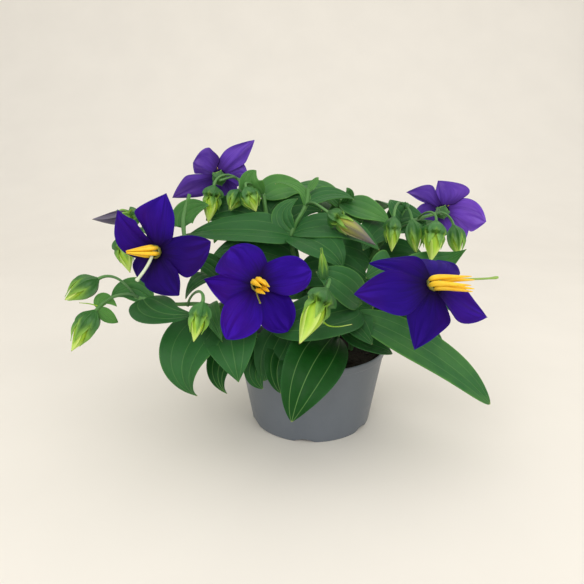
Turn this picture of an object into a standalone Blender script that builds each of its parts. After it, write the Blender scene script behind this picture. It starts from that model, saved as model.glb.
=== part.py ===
"""Potted persian violet: a large-flowered Exacum in a low 10.5 cm nursery pot.

The origin is the centre of the pot's underside, +Z is up and -Y is the side that faces the
viewer. Every size and place below is in millimetres; meshes are scaled to metres when made.
"""

import math
from collections import namedtuple

import bmesh
import bpy
from mathutils import Quaternion, Vector

MM = 0.001
GAP = 0.3
UP = Vector((0.0, 0.0, 1.0))
SHARP_ANGLE = math.radians(35.0)

# Pot
RIM_RADIUS = 52.5
POT_HEIGHT = 55.8
BASE_RADIUS = 42.9
WALL = 1.2
RIM_BAND = 5.0
RIM_STEP = 0.9
FOOT_WIDTH = 3.4
FLOOR_LIFT = 2.4
PAD_RADIUS = 26.0
PAD_SLOPE = 1.5
PAD_INSIDE = (0.6, -0.8)
FOOT_EDGE = 0.4
CORNER_HEIGHT = 3.0
CORNER_FILL = 1.6
EDGE = 0.6
RIM_DRAFT = 0.2
LIP = 0.5
LIP_DROP = 0.1
SHOULDER_DROP = 0.8
POT_SIDES = 24
NOTCH_COUNT = 6
NOTCH_RADIUS = 12.0
NOTCH_HEIGHT = 2.4
NOTCH_TURN = 22.5
NOTCH_DEPTH = 14.0
NOTCH_SIDES = 12
DRAIN_RADIUS = 4.0
DRAIN_CIRCLE = 33.0
DRAIN_DEPTH = 8.0
DRAIN_SIDES = 6

# Soil
SOIL_TOP = 51.0
SOIL_CROWN = 2.0
SOIL_SHOULDER = 24.0
SOIL_EDGE = (1.5, 1.0)
SOIL_CLEAR = 0.8
SOIL_SIDES = 16
STEM_FOOT = 24.0
HOLE_RADIUS = 2.6
HOLE_SIDES = 6

# Stems and leaves. The lists of rows are shares of the length of a blade.
STEM_SIDES = 5
STEM_RADIUS = 1.8
BRANCH_RADIUS = 1.3
STALK_RADIUS = 0.8
BLADE = 0.9
LONG_LEAF = 40.0
LONG_LEAF_ROWS = (0.0, 0.18, 0.45, 0.77, 1.0)
SHORT_LEAF_ROWS = (0.0, 0.28, 0.68, 1.0)
LEAF_START = 0.0015
LEAF_BASE_POWER = 0.5
LEAF_TIP_POWER = 0.9
LEAF_PEAK = 0.4
LEAF_TIP_SHARE = 0.01

# Flowers. The rows of a petal are shares of its length; each of its three shapes gives the share
# of its half width at every row.
PETAL_BLADE = 0.9
PETAL_ROWS = (0.0, 0.22, 0.46, 0.7, 0.88, 1.0)
DRAWN_PETAL = (0.8, 0.97, 0.88, 0.42, 0.16, 0.03)
POINTED_PETAL = (0.8, 0.94, 1.0, 0.77, 0.37, 0.03)
SQUARED_PETAL = (0.78, 0.89, 0.98, 0.98, 0.77, 0.05)
PETAL_ACROSS = 4
WIDEST_SEAM = 1.2
SECTOR_MARGIN = 1.1
PETAL_CUP = 0.1
THROAT_RADIUS = 4.6
TUBE_LENGTH = 6.0
RING_OUTER = 3.9
RING_INNER = 2.5
RING_HEIGHT = 1.8
RING_SIDES = 8
ANTHERS = 5
ANTHER_RADII = (0.6, 1.15, 1.1, 0.45)
ANTHER_RISES = (3.0, 6.0)
ANTHER_BOW = 1.0
OVARY_RADII = (1.3, 1.9, 0.9)
OVARY_HEIGHT = 2.7
STYLE_SWING = 6.0
STYLE_CLEAR = math.radians(105.0)
STYLE_LIFT = 0.5
STIGMA_SWELL = 1.6
PISTIL_SIDES = 5

# Calyces and buds. BELLY is how far up and out a sepal's wing is, SINUS how far up two sepals
# part, SPREAD the radius at their tips; all are shares of the calyx's length or radius.
SEPALS = 5
SEPAL_WALL = 0.8
BELLY_HEIGHT = 0.36
BELLY_RADIUS = 1.14
SINUS_HEIGHT = 0.62
SINUS_RADIUS = 0.98
BLOOM_SPREAD = 1.0
BUD_SPREAD = 0.92
BLOOM_CALYX = 6.6
CALYX_SEAT = 2.4
STALK_STEPS = 3
STALK_LEAN = 0.25
STALK_ARCH = 0.3
STALK_ARRIVAL = 9.0
BUD_SIDES = 5
BUD_TWIST = 0.35
BUD_TAPER = 0.7

Stem = namedtuple("Stem", "points start_radius end_radius")
Leaf = namedtuple("Leaf", "base middle tip width face fold", defaults=(14.0,))
Bloom = namedtuple("Bloom", "name centre facing stalk petals anthers style splay rod",
                   defaults=(1.7, 0.5))
Petal = namedtuple("Petal", "tip width lift skew twist blunt", defaults=(0.0, 0.0, 0.0))
Bud = namedtuple("Bud", "stalk neck tip length width")
Shoot = namedtuple("Shoot", "name stems leaves blooms buds")


def vec(point):
    """A point of the layout as a vector in millimetres."""
    return Vector(point)


def smooth_path(points, steps):
    """A Catmull-Rom curve through the given points, with the same number of steps a span."""
    knots = [vec(p) for p in points]
    knots = [knots[0] * 2 - knots[1]] + knots + [knots[-1] * 2 - knots[-2]]
    path = []
    for i in range(1, len(knots) - 2):
        a, b, c, d = knots[i - 1:i + 3]
        for k in range(steps):
            t = k / steps
            path.append(0.5 * (2 * b + (c - a) * t + (2 * a - 5 * b + 4 * c - d) * t * t
                               + (3 * b - a - 3 * c + d) * t ** 3))
    path.append(knots[-2])
    return path


def bezier_path(start, lean, arrive, end, steps):
    """A cubic curve that leaves the start towards one point and reaches the end from another."""
    path = []
    for k in range(steps + 1):
        t = k / steps
        s = 1 - t
        path.append(start * s ** 3 + lean * 3 * s * s * t + arrive * 3 * s * t * t + end * t ** 3)
    return path


def frame_for(direction, hint=UP):
    """Two unit vectors square to a direction, the second one leaning towards the hint."""
    direction = direction.normalized()
    side = direction.cross(hint)
    if side.length < 0.05:
        side = direction.cross(Vector((1.0, 0.0, 0.0)))
    side.normalize()
    return side, side.cross(direction).normalized()


def tube(path, radii, sides, roll=0.0):
    """A closed round tube along a path, its section carried along without twist."""
    verts, faces = [], []
    side, normal = frame_for(path[1] - path[0])
    previous = (path[1] - path[0]).normalized()
    for i, point in enumerate(path):
        ahead = (path[min(i + 1, len(path) - 1)] - path[max(i - 1, 0)]).normalized()
        turn = previous.rotation_difference(ahead)
        side, normal, previous = turn @ side, turn @ normal, ahead
        for k in range(sides):
            angle = roll + 2 * math.pi * k / sides
            verts.append(point + radii[i] * (side * math.cos(angle) + normal * math.sin(angle)))
    for i in range(len(path) - 1):
        for k in range(sides):
            n = (k + 1) % sides
            faces.append((i * sides + k, i * sides + n, (i + 1) * sides + n, (i + 1) * sides + k))
    faces.append(tuple(reversed(range(sides))))
    faces.append(tuple(range((len(path) - 1) * sides, len(path) * sides)))
    return verts, faces


def tapered(path, start_radius, end_radius, sides, roll=0.0):
    """A tube whose radius runs evenly from its first to its last point."""
    last = len(path) - 1
    radii = [start_radius + (end_radius - start_radius) * i / last for i in range(len(path))]
    return tube(path, radii, sides, roll)


def leaf_outline(t):
    """Share of the half width of a leaf along its length: narrow base, drawn-out tip."""
    widening = (t + LEAF_START) ** LEAF_BASE_POWER
    narrowing = (1.0 - t) ** LEAF_TIP_POWER
    return widening * narrowing / LEAF_PEAK + LEAF_TIP_SHARE


def petal_halves(petal):
    """Half widths of a petal on both sides of its midrib at each of its rows.

    Blunt blends its shape from the pointed one to the drawn one at -1 or the squared one at 1;
    skew moves its width to one side.
    """
    other = SQUARED_PETAL if petal.blunt > 0 else DRAWN_PETAL
    share = abs(petal.blunt)
    halves = []
    for plain, shaped in zip(POINTED_PETAL, other):
        half = petal.width / 2 * (plain * (1 - share) + shaped * share)
        halves.append((half * (1 - petal.skew), half * (1 + petal.skew)))
    return halves


def blade_grid(base, middle, tip, face, fold, rows, halves, across, cup=0.0, twist=0.0):
    """Rows of (point, normal) pairs across a thin leaf or petal on an arched midrib."""
    base, middle, tip = vec(base), vec(middle), vec(tip)
    handle = 2 * middle - (base + tip) / 2
    centre_line = (tip - base).normalized()
    side = Quaternion(centre_line, math.radians(twist)) @ centre_line.cross(vec(face)).normalized()
    normal = side.cross(centre_line)
    fold = math.radians(fold)
    grid = []
    for t, (left, right) in zip(rows, halves):
        point = base * (1 - t) ** 2 + handle * 2 * t * (1 - t) + tip * t * t
        ahead = ((handle - base) * (1 - t) + (tip - handle) * t).normalized()
        swing = centre_line.rotation_difference(ahead)
        row_side, row_normal = swing @ side, swing @ normal
        row = []
        for k in range(across + 1):
            u = 2 * k / across - 1
            half = right if u > 0 else left
            rise = abs(u) * half * math.sin(fold) + cup * u * u * half
            row.append((point + row_side * (u * half * math.cos(fold)) + row_normal * rise,
                        row_normal))
        grid.append(row)
    return grid


def sheet_triangles(grid_rows, across, first=0):
    """Triangles over a grid of rows, mirrored about its midrib."""
    count = across + 1
    triangles = []
    for i in range(grid_rows - 1):
        for k in range(across):
            a = first + i * count + k
            b, c, d = a + 1, a + 1 + count, a + count
            triangles += ((a, b, c), (a, c, d)) if k >= across / 2 else ((a, b, d), (b, c, d))
    return triangles


def leaf_solid(leaf):
    """The blade of one leaf, folded along its midrib, its two faces split alike."""
    length = (vec(leaf.tip) - vec(leaf.base)).length
    rows = LONG_LEAF_ROWS if length > LONG_LEAF else SHORT_LEAF_ROWS
    halves = [(leaf.width / 2 * leaf_outline(t),) * 2 for t in rows]
    grid = blade_grid(leaf.base, leaf.middle, leaf.tip, leaf.face, leaf.fold, rows, halves, 2)
    upper = [point + normal * BLADE / 2 for row in grid for point, normal in row]
    lower = [point - normal * BLADE / 2 for row in grid for point, normal in row]
    shift, last = len(upper), (len(rows) - 1) * 3
    faces = []
    for a, b, c in sheet_triangles(len(rows), 2):
        faces += [(a, b, c), (shift + c, shift + b, shift + a)]
    border = [0, 1, 2] + [3 * i + 2 for i in range(1, len(rows))] + [last + 1, last]
    border += [3 * i for i in range(len(rows) - 2, 0, -1)]
    for a, b in zip(border, border[1:] + border[:1]):
        faces.append((b, a, shift + a, shift + b))
    return upper + lower, faces


def calyx_solid(start, neck, axis, length, radius, spread):
    """A stalk that opens into a cup of five winged sepals: ribbed outside, a cone inside."""
    start, axis = vec(start), axis.normalized()
    side, normal = frame_for(axis)
    reach = (neck - start).length
    lean = start + (neck - start) * STALK_LEAN + UP * reach * STALK_ARCH
    arrive = neck - axis * min(reach / 2, STALK_ARRIVAL)
    path = bezier_path(start, lean, arrive, neck, STALK_STEPS)
    rings = []
    x_axis, y_axis, previous = side, normal, axis
    for i in range(STALK_STEPS, -1, -1):
        ahead = (path[min(i + 1, STALK_STEPS)] - path[max(i - 1, 0)]).normalized()
        ahead = axis if i == STALK_STEPS else ahead
        swing = previous.rotation_difference(ahead)
        x_axis, y_axis, previous = swing @ x_axis, swing @ y_axis, ahead
        ring = []
        for k in range(SEPALS):
            angle = 2 * math.pi * k / SEPALS
            out = x_axis * math.cos(angle) + y_axis * math.sin(angle)
            ring.append(path[i] + out * STALK_RADIUS)
        rings.insert(0, ring)
    verts = [v for ring in rings for v in ring]
    faces = [tuple(reversed(range(SEPALS)))]
    for i in range(STALK_STEPS):
        for k in range(SEPALS):
            a, b = i * SEPALS + k, i * SEPALS + (k + 1) % SEPALS
            faces.append((a, b, b + SEPALS, a + SEPALS))
    top = STALK_STEPS * SEPALS
    cup = top + SEPALS
    sides = 2 * SEPALS
    belly, sinus = BELLY_HEIGHT * length, SINUS_HEIGHT * length
    lobe, between = radius * spread, radius * SINUS_RADIUS
    levels = ((belly, belly, radius * BELLY_RADIUS, radius),
              (length, sinus, lobe, between),
              (length, sinus, lobe - SEPAL_WALL, between - SEPAL_WALL))
    for lobe_height, sinus_height, lobe_reach, sinus_reach in levels:
        for k in range(sides):
            angle = 2 * math.pi * k / sides
            out = side * math.cos(angle) + normal * math.sin(angle)
            height, spot = (lobe_height, lobe_reach) if k % 2 == 0 else (sinus_height, sinus_reach)
            verts.append(neck + axis * height + out * spot)
    for k in range(SEPALS):
        n = (k + 1) % SEPALS
        low, mid, high = cup + 2 * k, cup + 2 * k + 1, cup + (2 * k + 2) % sides
        faces += [(top + k, mid, low), (top + k, top + n, mid), (top + n, high, mid)]
    for i in range(2):
        for k in range(sides):
            a, b = cup + i * sides + k, cup + i * sides + (k + 1) % sides
            faces.append((a, b, b + sides, a + sides))
    verts.append(neck + axis * CALYX_SEAT)
    for k in range(sides):
        a, b = cup + 2 * sides + k, cup + 2 * sides + (k + 1) % sides
        faces.append((a, b, len(verts) - 1))
    return verts, faces


def bud_solid(bud):
    """The closed corolla of a bud: a twisted spindle seated in the cone of its calyx."""
    neck, tip = vec(bud.neck), vec(bud.tip)
    axis = (tip - neck).normalized()
    side, normal = frame_for(axis)
    reach = (tip - neck).length
    cup_radius = bud.width / 2 * BUD_SPREAD - SEPAL_WALL
    sinus = bud.length * SINUS_HEIGHT
    cone = cup_radius * (sinus - CALYX_SEAT) / (bud.length - CALYX_SEAT)
    full = cup_radius - 2 * GAP
    rings = ((sinus, cone - 2 * GAP), (bud.length, full),
             ((bud.length + reach) / 2, full * BUD_TAPER))
    verts = [neck + axis * (CALYX_SEAT + 3 * GAP)]
    faces = []
    for i, (height, radius) in enumerate(rings):
        for k in range(BUD_SIDES):
            angle = 2 * math.pi * (k + 0.5) / BUD_SIDES + BUD_TWIST * i
            verts.append(neck + axis * height
                         + (side * math.cos(angle) + normal * math.sin(angle)) * radius)
    verts.append(tip)
    for k in range(BUD_SIDES):
        n = (k + 1) % BUD_SIDES
        faces.append((0, 1 + n, 1 + k))
        for i in range(len(rings) - 1):
            low, high = 1 + i * BUD_SIDES, 1 + (i + 1) * BUD_SIDES
            faces.append((low + k, low + n, high + n, high + k))
        faces.append((1 + 2 * BUD_SIDES + k, 1 + 2 * BUD_SIDES + n, len(verts) - 1))
    return verts, faces


def new_mesh_object(name, verts, faces, collection):
    """An object of triangles with its normals pointing out, in metres."""
    mesh = bpy.data.meshes.new(name)
    mesh.from_pydata([tuple(v * MM) for v in verts], [], faces)
    shape = bmesh.new()
    shape.from_mesh(mesh)
    bmesh.ops.recalc_face_normals(shape, faces=shape.faces)
    bmesh.ops.triangulate(shape, faces=[f for f in shape.faces if len(f.verts) > 3])
    shape.to_mesh(mesh)
    shape.free()
    obj = bpy.data.objects.new(name, mesh)
    collection.objects.link(obj)
    return obj


def make_material(name, colour, roughness, metallic=0.0):
    """A plain Principled finish."""
    material = bpy.data.materials.new(name)
    material.use_nodes = True
    shader = material.node_tree.nodes["Principled BSDF"]
    shader.inputs["Base Color"].default_value = (*colour, 1.0)
    shader.inputs["Roughness"].default_value = roughness
    shader.inputs["Metallic"].default_value = metallic
    material.diffuse_color = (*colour, 1.0)
    return material


def finished(obj, material):
    """Gives an object its material, and smooth shading up to a clear edge."""
    obj.data.materials.clear()
    obj.data.materials.append(material)
    obj.data.shade_smooth()
    obj.data.set_sharp_from_angle(angle=SHARP_ANGLE)
    return obj


def single_object(name, verts, faces, material):
    """A finished object that needs no Boolean."""
    return finished(new_mesh_object(name, verts, faces, bpy.context.scene.collection), material)


def joined_object(name, solids, material):
    """One body made of overlapping solids by a single Boolean union."""
    scene_collection = bpy.context.scene.collection
    pile = bpy.data.collections.new(name + "_pieces")
    scene_collection.children.link(pile)
    body = new_mesh_object(name, *solids[0], scene_collection)
    for i, (verts, faces) in enumerate(solids[1:]):
        new_mesh_object(f"{name}_piece_{i}", verts, faces, pile)
    union = body.modifiers.new("join", "BOOLEAN")
    union.operation = "UNION"
    union.operand_type = "COLLECTION"
    union.collection = pile
    union.solver = "EXACT"
    depsgraph = bpy.context.evaluated_depsgraph_get()
    joined = bpy.data.meshes.new_from_object(body.evaluated_get(depsgraph))
    body.modifiers.clear()
    body.data = joined
    for piece in list(pile.objects):
        bpy.data.objects.remove(piece, do_unlink=True)
    bpy.data.collections.remove(pile)
    joined.name = name
    return finished(body, material)


def turned(name, profile, sides, material):
    """A ring-shaped solid: a closed profile of (radius, height) turned about the Z axis."""
    verts = []
    faces = []
    count = len(profile)
    for k in range(sides):
        angle = 2 * math.pi * k / sides
        for radius, height in profile:
            verts.append(Vector((radius * math.cos(angle), radius * math.sin(angle), height)))
    for k in range(sides):
        a, b = k * count, (k + 1) % sides * count
        for i in range(count):
            j = (i + 1) % count
            faces.append((a + i, a + j, b + j, b + i))
    obj = new_mesh_object(name, verts, faces, bpy.context.scene.collection)
    merged = bmesh.new()
    merged.from_mesh(obj.data)
    bmesh.ops.remove_doubles(merged, verts=merged.verts, dist=0.00001)
    bmesh.ops.dissolve_degenerate(merged, edges=merged.edges, dist=0.00001)
    bmesh.ops.recalc_face_normals(merged, faces=merged.faces)
    merged.to_mesh(obj.data)
    merged.free()
    return finished(obj, material)


def cylinder(centre, direction, radius, length, sides):
    """A plain cylinder through a centre, as points and faces."""
    half = direction.normalized() * length / 2
    return tapered([centre - half, centre + half], radius, radius, sides)


def cut(obj, cutters):
    """Takes the cutters out of an object, and then removes them."""
    pile = bpy.data.collections.new(obj.name + "_cutters")
    bpy.context.scene.collection.children.link(pile)
    for i, (verts, faces) in enumerate(cutters):
        new_mesh_object(f"{obj.name}_cutter_{i}", verts, faces, pile)
    modifier = obj.modifiers.new("holes", "BOOLEAN")
    modifier.operation = "DIFFERENCE"
    modifier.operand_type = "COLLECTION"
    modifier.collection = pile
    modifier.solver = "EXACT"
    depsgraph = bpy.context.evaluated_depsgraph_get()
    result = bpy.data.meshes.new_from_object(obj.evaluated_get(depsgraph))
    obj.modifiers.clear()
    obj.data = result
    for piece in list(pile.objects):
        bpy.data.objects.remove(piece, do_unlink=True)
    bpy.data.collections.remove(pile)


def wall_radius(height):
    """Outer radius of the pot's plain wall at a height."""
    top = RIM_RADIUS - RIM_STEP
    return BASE_RADIUS + (top - BASE_RADIUS) * height / (POT_HEIGHT - RIM_BAND)


def make_pot(material):
    """The thin tapered pot: rim band, foot ring with notches, raised ring with drain holes."""
    rim_foot = POT_HEIGHT - RIM_BAND
    foot_inner = BASE_RADIUS - FOOT_WIDTH
    profile = [
        (0.0, 0.0), (PAD_RADIUS, 0.0), (PAD_RADIUS + PAD_SLOPE, FLOOR_LIFT),
        (foot_inner, FLOOR_LIFT), (foot_inner + FOOT_EDGE, 0.0), (BASE_RADIUS - FOOT_EDGE, 0.0),
        (BASE_RADIUS, EDGE), (wall_radius(rim_foot), rim_foot),
        (RIM_RADIUS - RIM_DRAFT, rim_foot + EDGE), (RIM_RADIUS, POT_HEIGHT - LIP),
        (RIM_RADIUS - LIP, POT_HEIGHT), (RIM_RADIUS - WALL, POT_HEIGHT - LIP_DROP),
        (wall_radius(rim_foot) - WALL, rim_foot - SHOULDER_DROP),
        (wall_radius(FLOOR_LIFT + CORNER_HEIGHT) - WALL, FLOOR_LIFT + CORNER_HEIGHT),
        (wall_radius(FLOOR_LIFT + WALL) - WALL - CORNER_FILL, FLOOR_LIFT + WALL),
        (PAD_RADIUS + PAD_INSIDE[0], FLOOR_LIFT + WALL), (PAD_RADIUS + PAD_INSIDE[1], WALL),
        (0.0, WALL),
    ]
    pot = turned("pot", profile, POT_SIDES, material)
    cutters = []
    for i in range(NOTCH_COUNT):
        angle = math.radians(NOTCH_TURN + 360 * i / NOTCH_COUNT)
        out = Vector((math.cos(angle), math.sin(angle), 0.0))
        middle = out * BASE_RADIUS + UP * (NOTCH_HEIGHT - NOTCH_RADIUS)
        cutters.append(cylinder(middle, out, NOTCH_RADIUS, NOTCH_DEPTH, NOTCH_SIDES))
        drain = out * DRAIN_CIRCLE + UP * FLOOR_LIFT
        cutters.append(cylinder(drain, UP, DRAIN_RADIUS, DRAIN_DEPTH, DRAIN_SIDES))
    cut(pot, cutters)
    return pot


def make_soil(material, feet):
    """The soil that fills the pot, with a plain hole for the foot of each stem."""
    corner = CORNER_HEIGHT + EDGE
    top_radius = wall_radius(SOIL_TOP) - WALL - SOIL_CLEAR
    profile = [
        (0.0, WALL + GAP), (PAD_RADIUS + PAD_INSIDE[1] - 2 * GAP, WALL + GAP),
        (PAD_RADIUS + PAD_INSIDE[0] - 2 * GAP, FLOOR_LIFT + WALL + GAP),
        (wall_radius(FLOOR_LIFT + WALL) - WALL - CORNER_FILL - SOIL_CLEAR,
         FLOOR_LIFT + WALL + GAP),
        (wall_radius(FLOOR_LIFT + corner) - WALL - SOIL_CLEAR, FLOOR_LIFT + corner),
        (top_radius, SOIL_TOP - SOIL_EDGE[1]), (top_radius - SOIL_EDGE[0], SOIL_TOP),
        (SOIL_SHOULDER, SOIL_TOP + SOIL_CROWN * 0.6), (0.0, SOIL_TOP + SOIL_CROWN),
    ]
    soil = turned("soil", profile, SOIL_SIDES, material)
    depth = SOIL_TOP + SOIL_CROWN + 4.0 - STEM_FOOT
    holes = []
    for x, y in feet:
        centre = Vector((x, y, STEM_FOOT - GAP + depth / 2))
        holes.append(cylinder(centre, UP, HOLE_RADIUS, depth, HOLE_SIDES))
    cut(soil, holes)
    return soil


def flower_axes(bloom):
    """The flower's own frame: where it faces, and two directions across it."""
    facing = vec(bloom.facing).normalized()
    side, normal = frame_for(facing)
    return facing, side, normal


def petals_in_order(bloom):
    """The petals sorted round the throat, each with its angle."""
    facing, side, normal = flower_axes(bloom)
    turned_petals = []
    for petal in bloom.petals:
        out = vec(petal.tip) - vec(bloom.centre)
        turned_petals.append((math.atan2(out.dot(normal), out.dot(side)), petal))
    return sorted(turned_petals, key=lambda item: item[0])


def throat_angles(ordered):
    """For each petal, the angles of its two seams with its neighbours, the further one first.

    A wide half of a petal pushes its seam towards a narrow one.
    """
    seams = []
    for i, (angle, petal) in enumerate(ordered):
        following_angle, following = ordered[(i + 1) % len(ordered)]
        gap = (following_angle - angle) % (2 * math.pi)
        mine = petal.width * (1 + petal.skew)
        theirs = following.width * (1 - following.skew)
        seams.append(angle + gap * mine / (mine + theirs))
    return [(seams[i], seams[i - 1] - (2 * math.pi if i == 0 else 0)) for i in range(len(ordered))]


def petal_grids(bloom):
    """The grid of each petal; neighbours share their first two rows' ends."""
    facing, side, up = flower_axes(bloom)
    centre = vec(bloom.centre)
    ordered = petals_in_order(bloom)
    seams = throat_angles(ordered)
    grids = []
    for (angle, petal), (far_seam, near_seam) in zip(ordered, seams):
        out = side * math.cos(angle) + up * math.sin(angle)
        base, tip = centre + out * THROAT_RADIUS, vec(petal.tip)
        middle = (base + tip) / 2 + facing * petal.lift
        grid = blade_grid(base, middle, tip, facing, 0.0, PETAL_ROWS, petal_halves(petal),
                          PETAL_ACROSS, PETAL_CUP, petal.twist)
        for row in grid[1:]:
            spine = row[PETAL_ACROSS // 2][0]
            reach = (spine - centre).length
            for seam, columns in ((near_seam, (0, 1)), (far_seam, (-1, -2))):
                half = (row[columns[0]][0] - spine).length
                room = reach * math.tan(min(abs(seam - angle), WIDEST_SEAM)) - SECTOR_MARGIN
                shrink = min(1.0, room / half)
                for k in columns:
                    point, normal = row[k]
                    row[k] = (spine + (point - spine) * shrink, normal)
        for k in range(PETAL_ACROSS + 1):
            spot = near_seam + (far_seam - near_seam) * k / PETAL_ACROSS
            rim = side * math.cos(spot) + up * math.sin(spot)
            grid[0][k] = (centre + rim * THROAT_RADIUS, facing)
        grids.append(grid)
    for i, grid in enumerate(grids):
        following = grids[(i + 1) % len(grids)]
        seam = ((grid[1][-1][0] + following[1][0][0]) / 2, facing)
        grid[1][-1] = following[1][0] = seam
    return grids


def make_corolla(bloom, material):
    """Five broad petals, joined side by side near the throat, on a short cone-shaped tube."""
    facing, _, _ = flower_axes(bloom)
    centre = vec(bloom.centre)
    grids = petal_grids(bloom)
    count, rows, columns = len(grids), len(PETAL_ROWS), PETAL_ACROSS + 1
    petal_size = rows * columns
    points = [spot for grid in grids for row in grid for spot in row]
    shift = len(points)
    same = {}
    for i in range(count):
        for row in (0, 1):
            own = i * petal_size + row * columns + PETAL_ACROSS
            other = (i + 1) % count * petal_size + row * columns
            same[other] = own
            same[shift + other] = shift + own
    verts = [point + n * PETAL_BLADE / 2 for point, n in points]
    verts += [point - n * PETAL_BLADE / 2 for point, n in points]
    verts += [centre + facing * PETAL_BLADE / 2, centre - facing * TUBE_LENGTH]
    top, bottom = 2 * shift, 2 * shift + 1
    faces = []
    for first in range(0, shift, petal_size):
        for a, b, c in sheet_triangles(rows, PETAL_ACROSS, first):
            faces += [(a, b, c), (shift + c, shift + b, shift + a)]
        last = first + (rows - 1) * columns
        border = [first + r * columns + PETAL_ACROSS for r in range(1, rows)]
        border += [last + k for k in range(PETAL_ACROSS - 1, -1, -1)]
        border += [first + r * columns for r in range(rows - 2, 0, -1)]
        for a, b in zip(border, border[1:]):
            faces.append((b, a, shift + a, shift + b))
        for k in range(PETAL_ACROSS):
            faces += [(first + k, first + k + 1, top),
                      (shift + first + k + 1, shift + first + k, bottom)]
    faces = [tuple(same.get(v, v) for v in face) for face in faces]
    used = sorted({v for face in faces for v in face})
    order = {v: n for n, v in enumerate(used)}
    return single_object(bloom.name + "_petals", [verts[v] for v in used],
                         [tuple(order[v] for v in face) for face in faces], material)


def make_stamens(bloom, material):
    """The ring at the throat with its five anthers, which lean together into a cone.

    An anther rises more before it leans where it has to pass over the ovary.
    """
    near_rise, far_rise = ANTHER_RISES
    facing, side, normal = flower_axes(bloom)
    centre = vec(bloom.centre)
    low = centre + facing * (PETAL_BLADE / 2 + GAP)
    away = style_angle(bloom)
    tip = centre + vec(bloom.anthers)
    along = vec(bloom.anthers).normalized()
    verts, faces = [], []
    for k in range(RING_SIDES):
        angle = away + 2 * math.pi * (k - 0.5) / RING_SIDES
        out = side * math.cos(angle) + normal * math.sin(angle)
        for radius, height in ((RING_INNER, 0.0), (RING_OUTER, 0.0), (RING_OUTER, RING_HEIGHT),
                               (RING_INNER, RING_HEIGHT)):
            verts.append(low + out * radius + facing * height)
    for k in range(RING_SIDES):
        a, b = 4 * k, 4 * ((k + 1) % RING_SIDES)
        for i in range(4):
            j = (i + 1) % 4
            faces.append((a + i, a + j, b + j, b + i))
    solids = [(verts, faces)]
    for k in range(1, ANTHERS + 1):
        angle = away + 2 * math.pi * k / (ANTHERS + 1)
        out = side * math.cos(angle) + normal * math.sin(angle)
        root = low + out * (RING_INNER + RING_OUTER) / 2 + facing * RING_HEIGHT / 2
        end = tip + (out - along * out.dot(along)) * bloom.splay
        rise = near_rise + (far_rise - near_rise) * (1 - out.dot(along)) / 2
        path = bezier_path(root, root + facing * rise, (root + end) / 2 + facing * ANTHER_BOW,
                           end, len(ANTHER_RADII) - 1)
        solids.append(tube(path, ANTHER_RADII, 4))
    return joined_object(bloom.name + "_stamens", solids, material)


def style_angle(bloom):
    """The direction round the throat in which the style leaves it, well off the anthers' lean."""
    facing, side, normal = flower_axes(bloom)
    anthers, style = vec(bloom.anthers), vec(bloom.style)
    lean = math.atan2(anthers.dot(normal), anthers.dot(side))
    offset = math.atan2(style.dot(normal), style.dot(side)) - lean
    offset = (offset + math.pi) % (2 * math.pi) - math.pi
    return lean + math.copysign(max(abs(offset), STYLE_CLEAR), offset)


def make_pistil(bloom, material):
    """The round ovary inside the ring, drawn out into a curved style with a small stigma."""
    facing, side, normal = flower_axes(bloom)
    centre = vec(bloom.centre)
    foot = centre + facing * (PETAL_BLADE / 2 + GAP)
    angle = style_angle(bloom)
    out = side * math.cos(angle) + normal * math.sin(angle)
    top = foot + facing * OVARY_HEIGHT
    tip = centre + vec(bloom.style)
    path = [foot, foot.lerp(top, 0.45)]
    path += bezier_path(top, top + out * STYLE_SWING + facing * STYLE_LIFT,
                        top.lerp(tip, 0.6) + out * STYLE_SWING / 3, tip, 4)
    radii = [*OVARY_RADII, bloom.rod, bloom.rod, bloom.rod, bloom.rod * STIGMA_SWELL]
    return single_object(bloom.name + "_pistil", *tube(path, radii, PISTIL_SIDES), material)


def bloom_calyx(bloom):
    """The calyx behind an open flower, with its stalk."""
    facing, _, _ = flower_axes(bloom)
    neck = vec(bloom.centre) - facing * (TUBE_LENGTH + 2 * GAP + CALYX_SEAT)
    return calyx_solid(bloom.stalk, neck, facing, BLOOM_CALYX, THROAT_RADIUS, BLOOM_SPREAD)


def bud_calyx(bud):
    """The calyx round a closed bud, with its stalk."""
    neck = vec(bud.neck)
    axis = vec(bud.tip) - neck
    axis.normalize()
    return calyx_solid(bud.stalk, neck, axis, bud.length, bud.width / 2, BUD_SPREAD)


def make_shoot(shoot, material):
    """One leafy stem: its stems, leaves, stalks and calyces, joined in one body."""
    solids = []
    for i, stem in enumerate(shoot.stems):
        path = smooth_path(stem.points, 2)
        if i == 0:
            foot = vec(stem.points[0])
            path = [Vector((foot.x, foot.y, STEM_FOOT))] + path
        solids.append(tapered(path, stem.start_radius, stem.end_radius, STEM_SIDES))
    solids += [leaf_solid(leaf) for leaf in shoot.leaves]
    for bloom in shoot.blooms:
        solids.append(bloom_calyx(bloom))
    for bud in shoot.buds:
        solids.append(bud_calyx(bud))
    return joined_object(shoot.name, solids, material)


# Layout of the plant, as it stands in its pot. Each shoot begins with the place of its foot.

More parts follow.
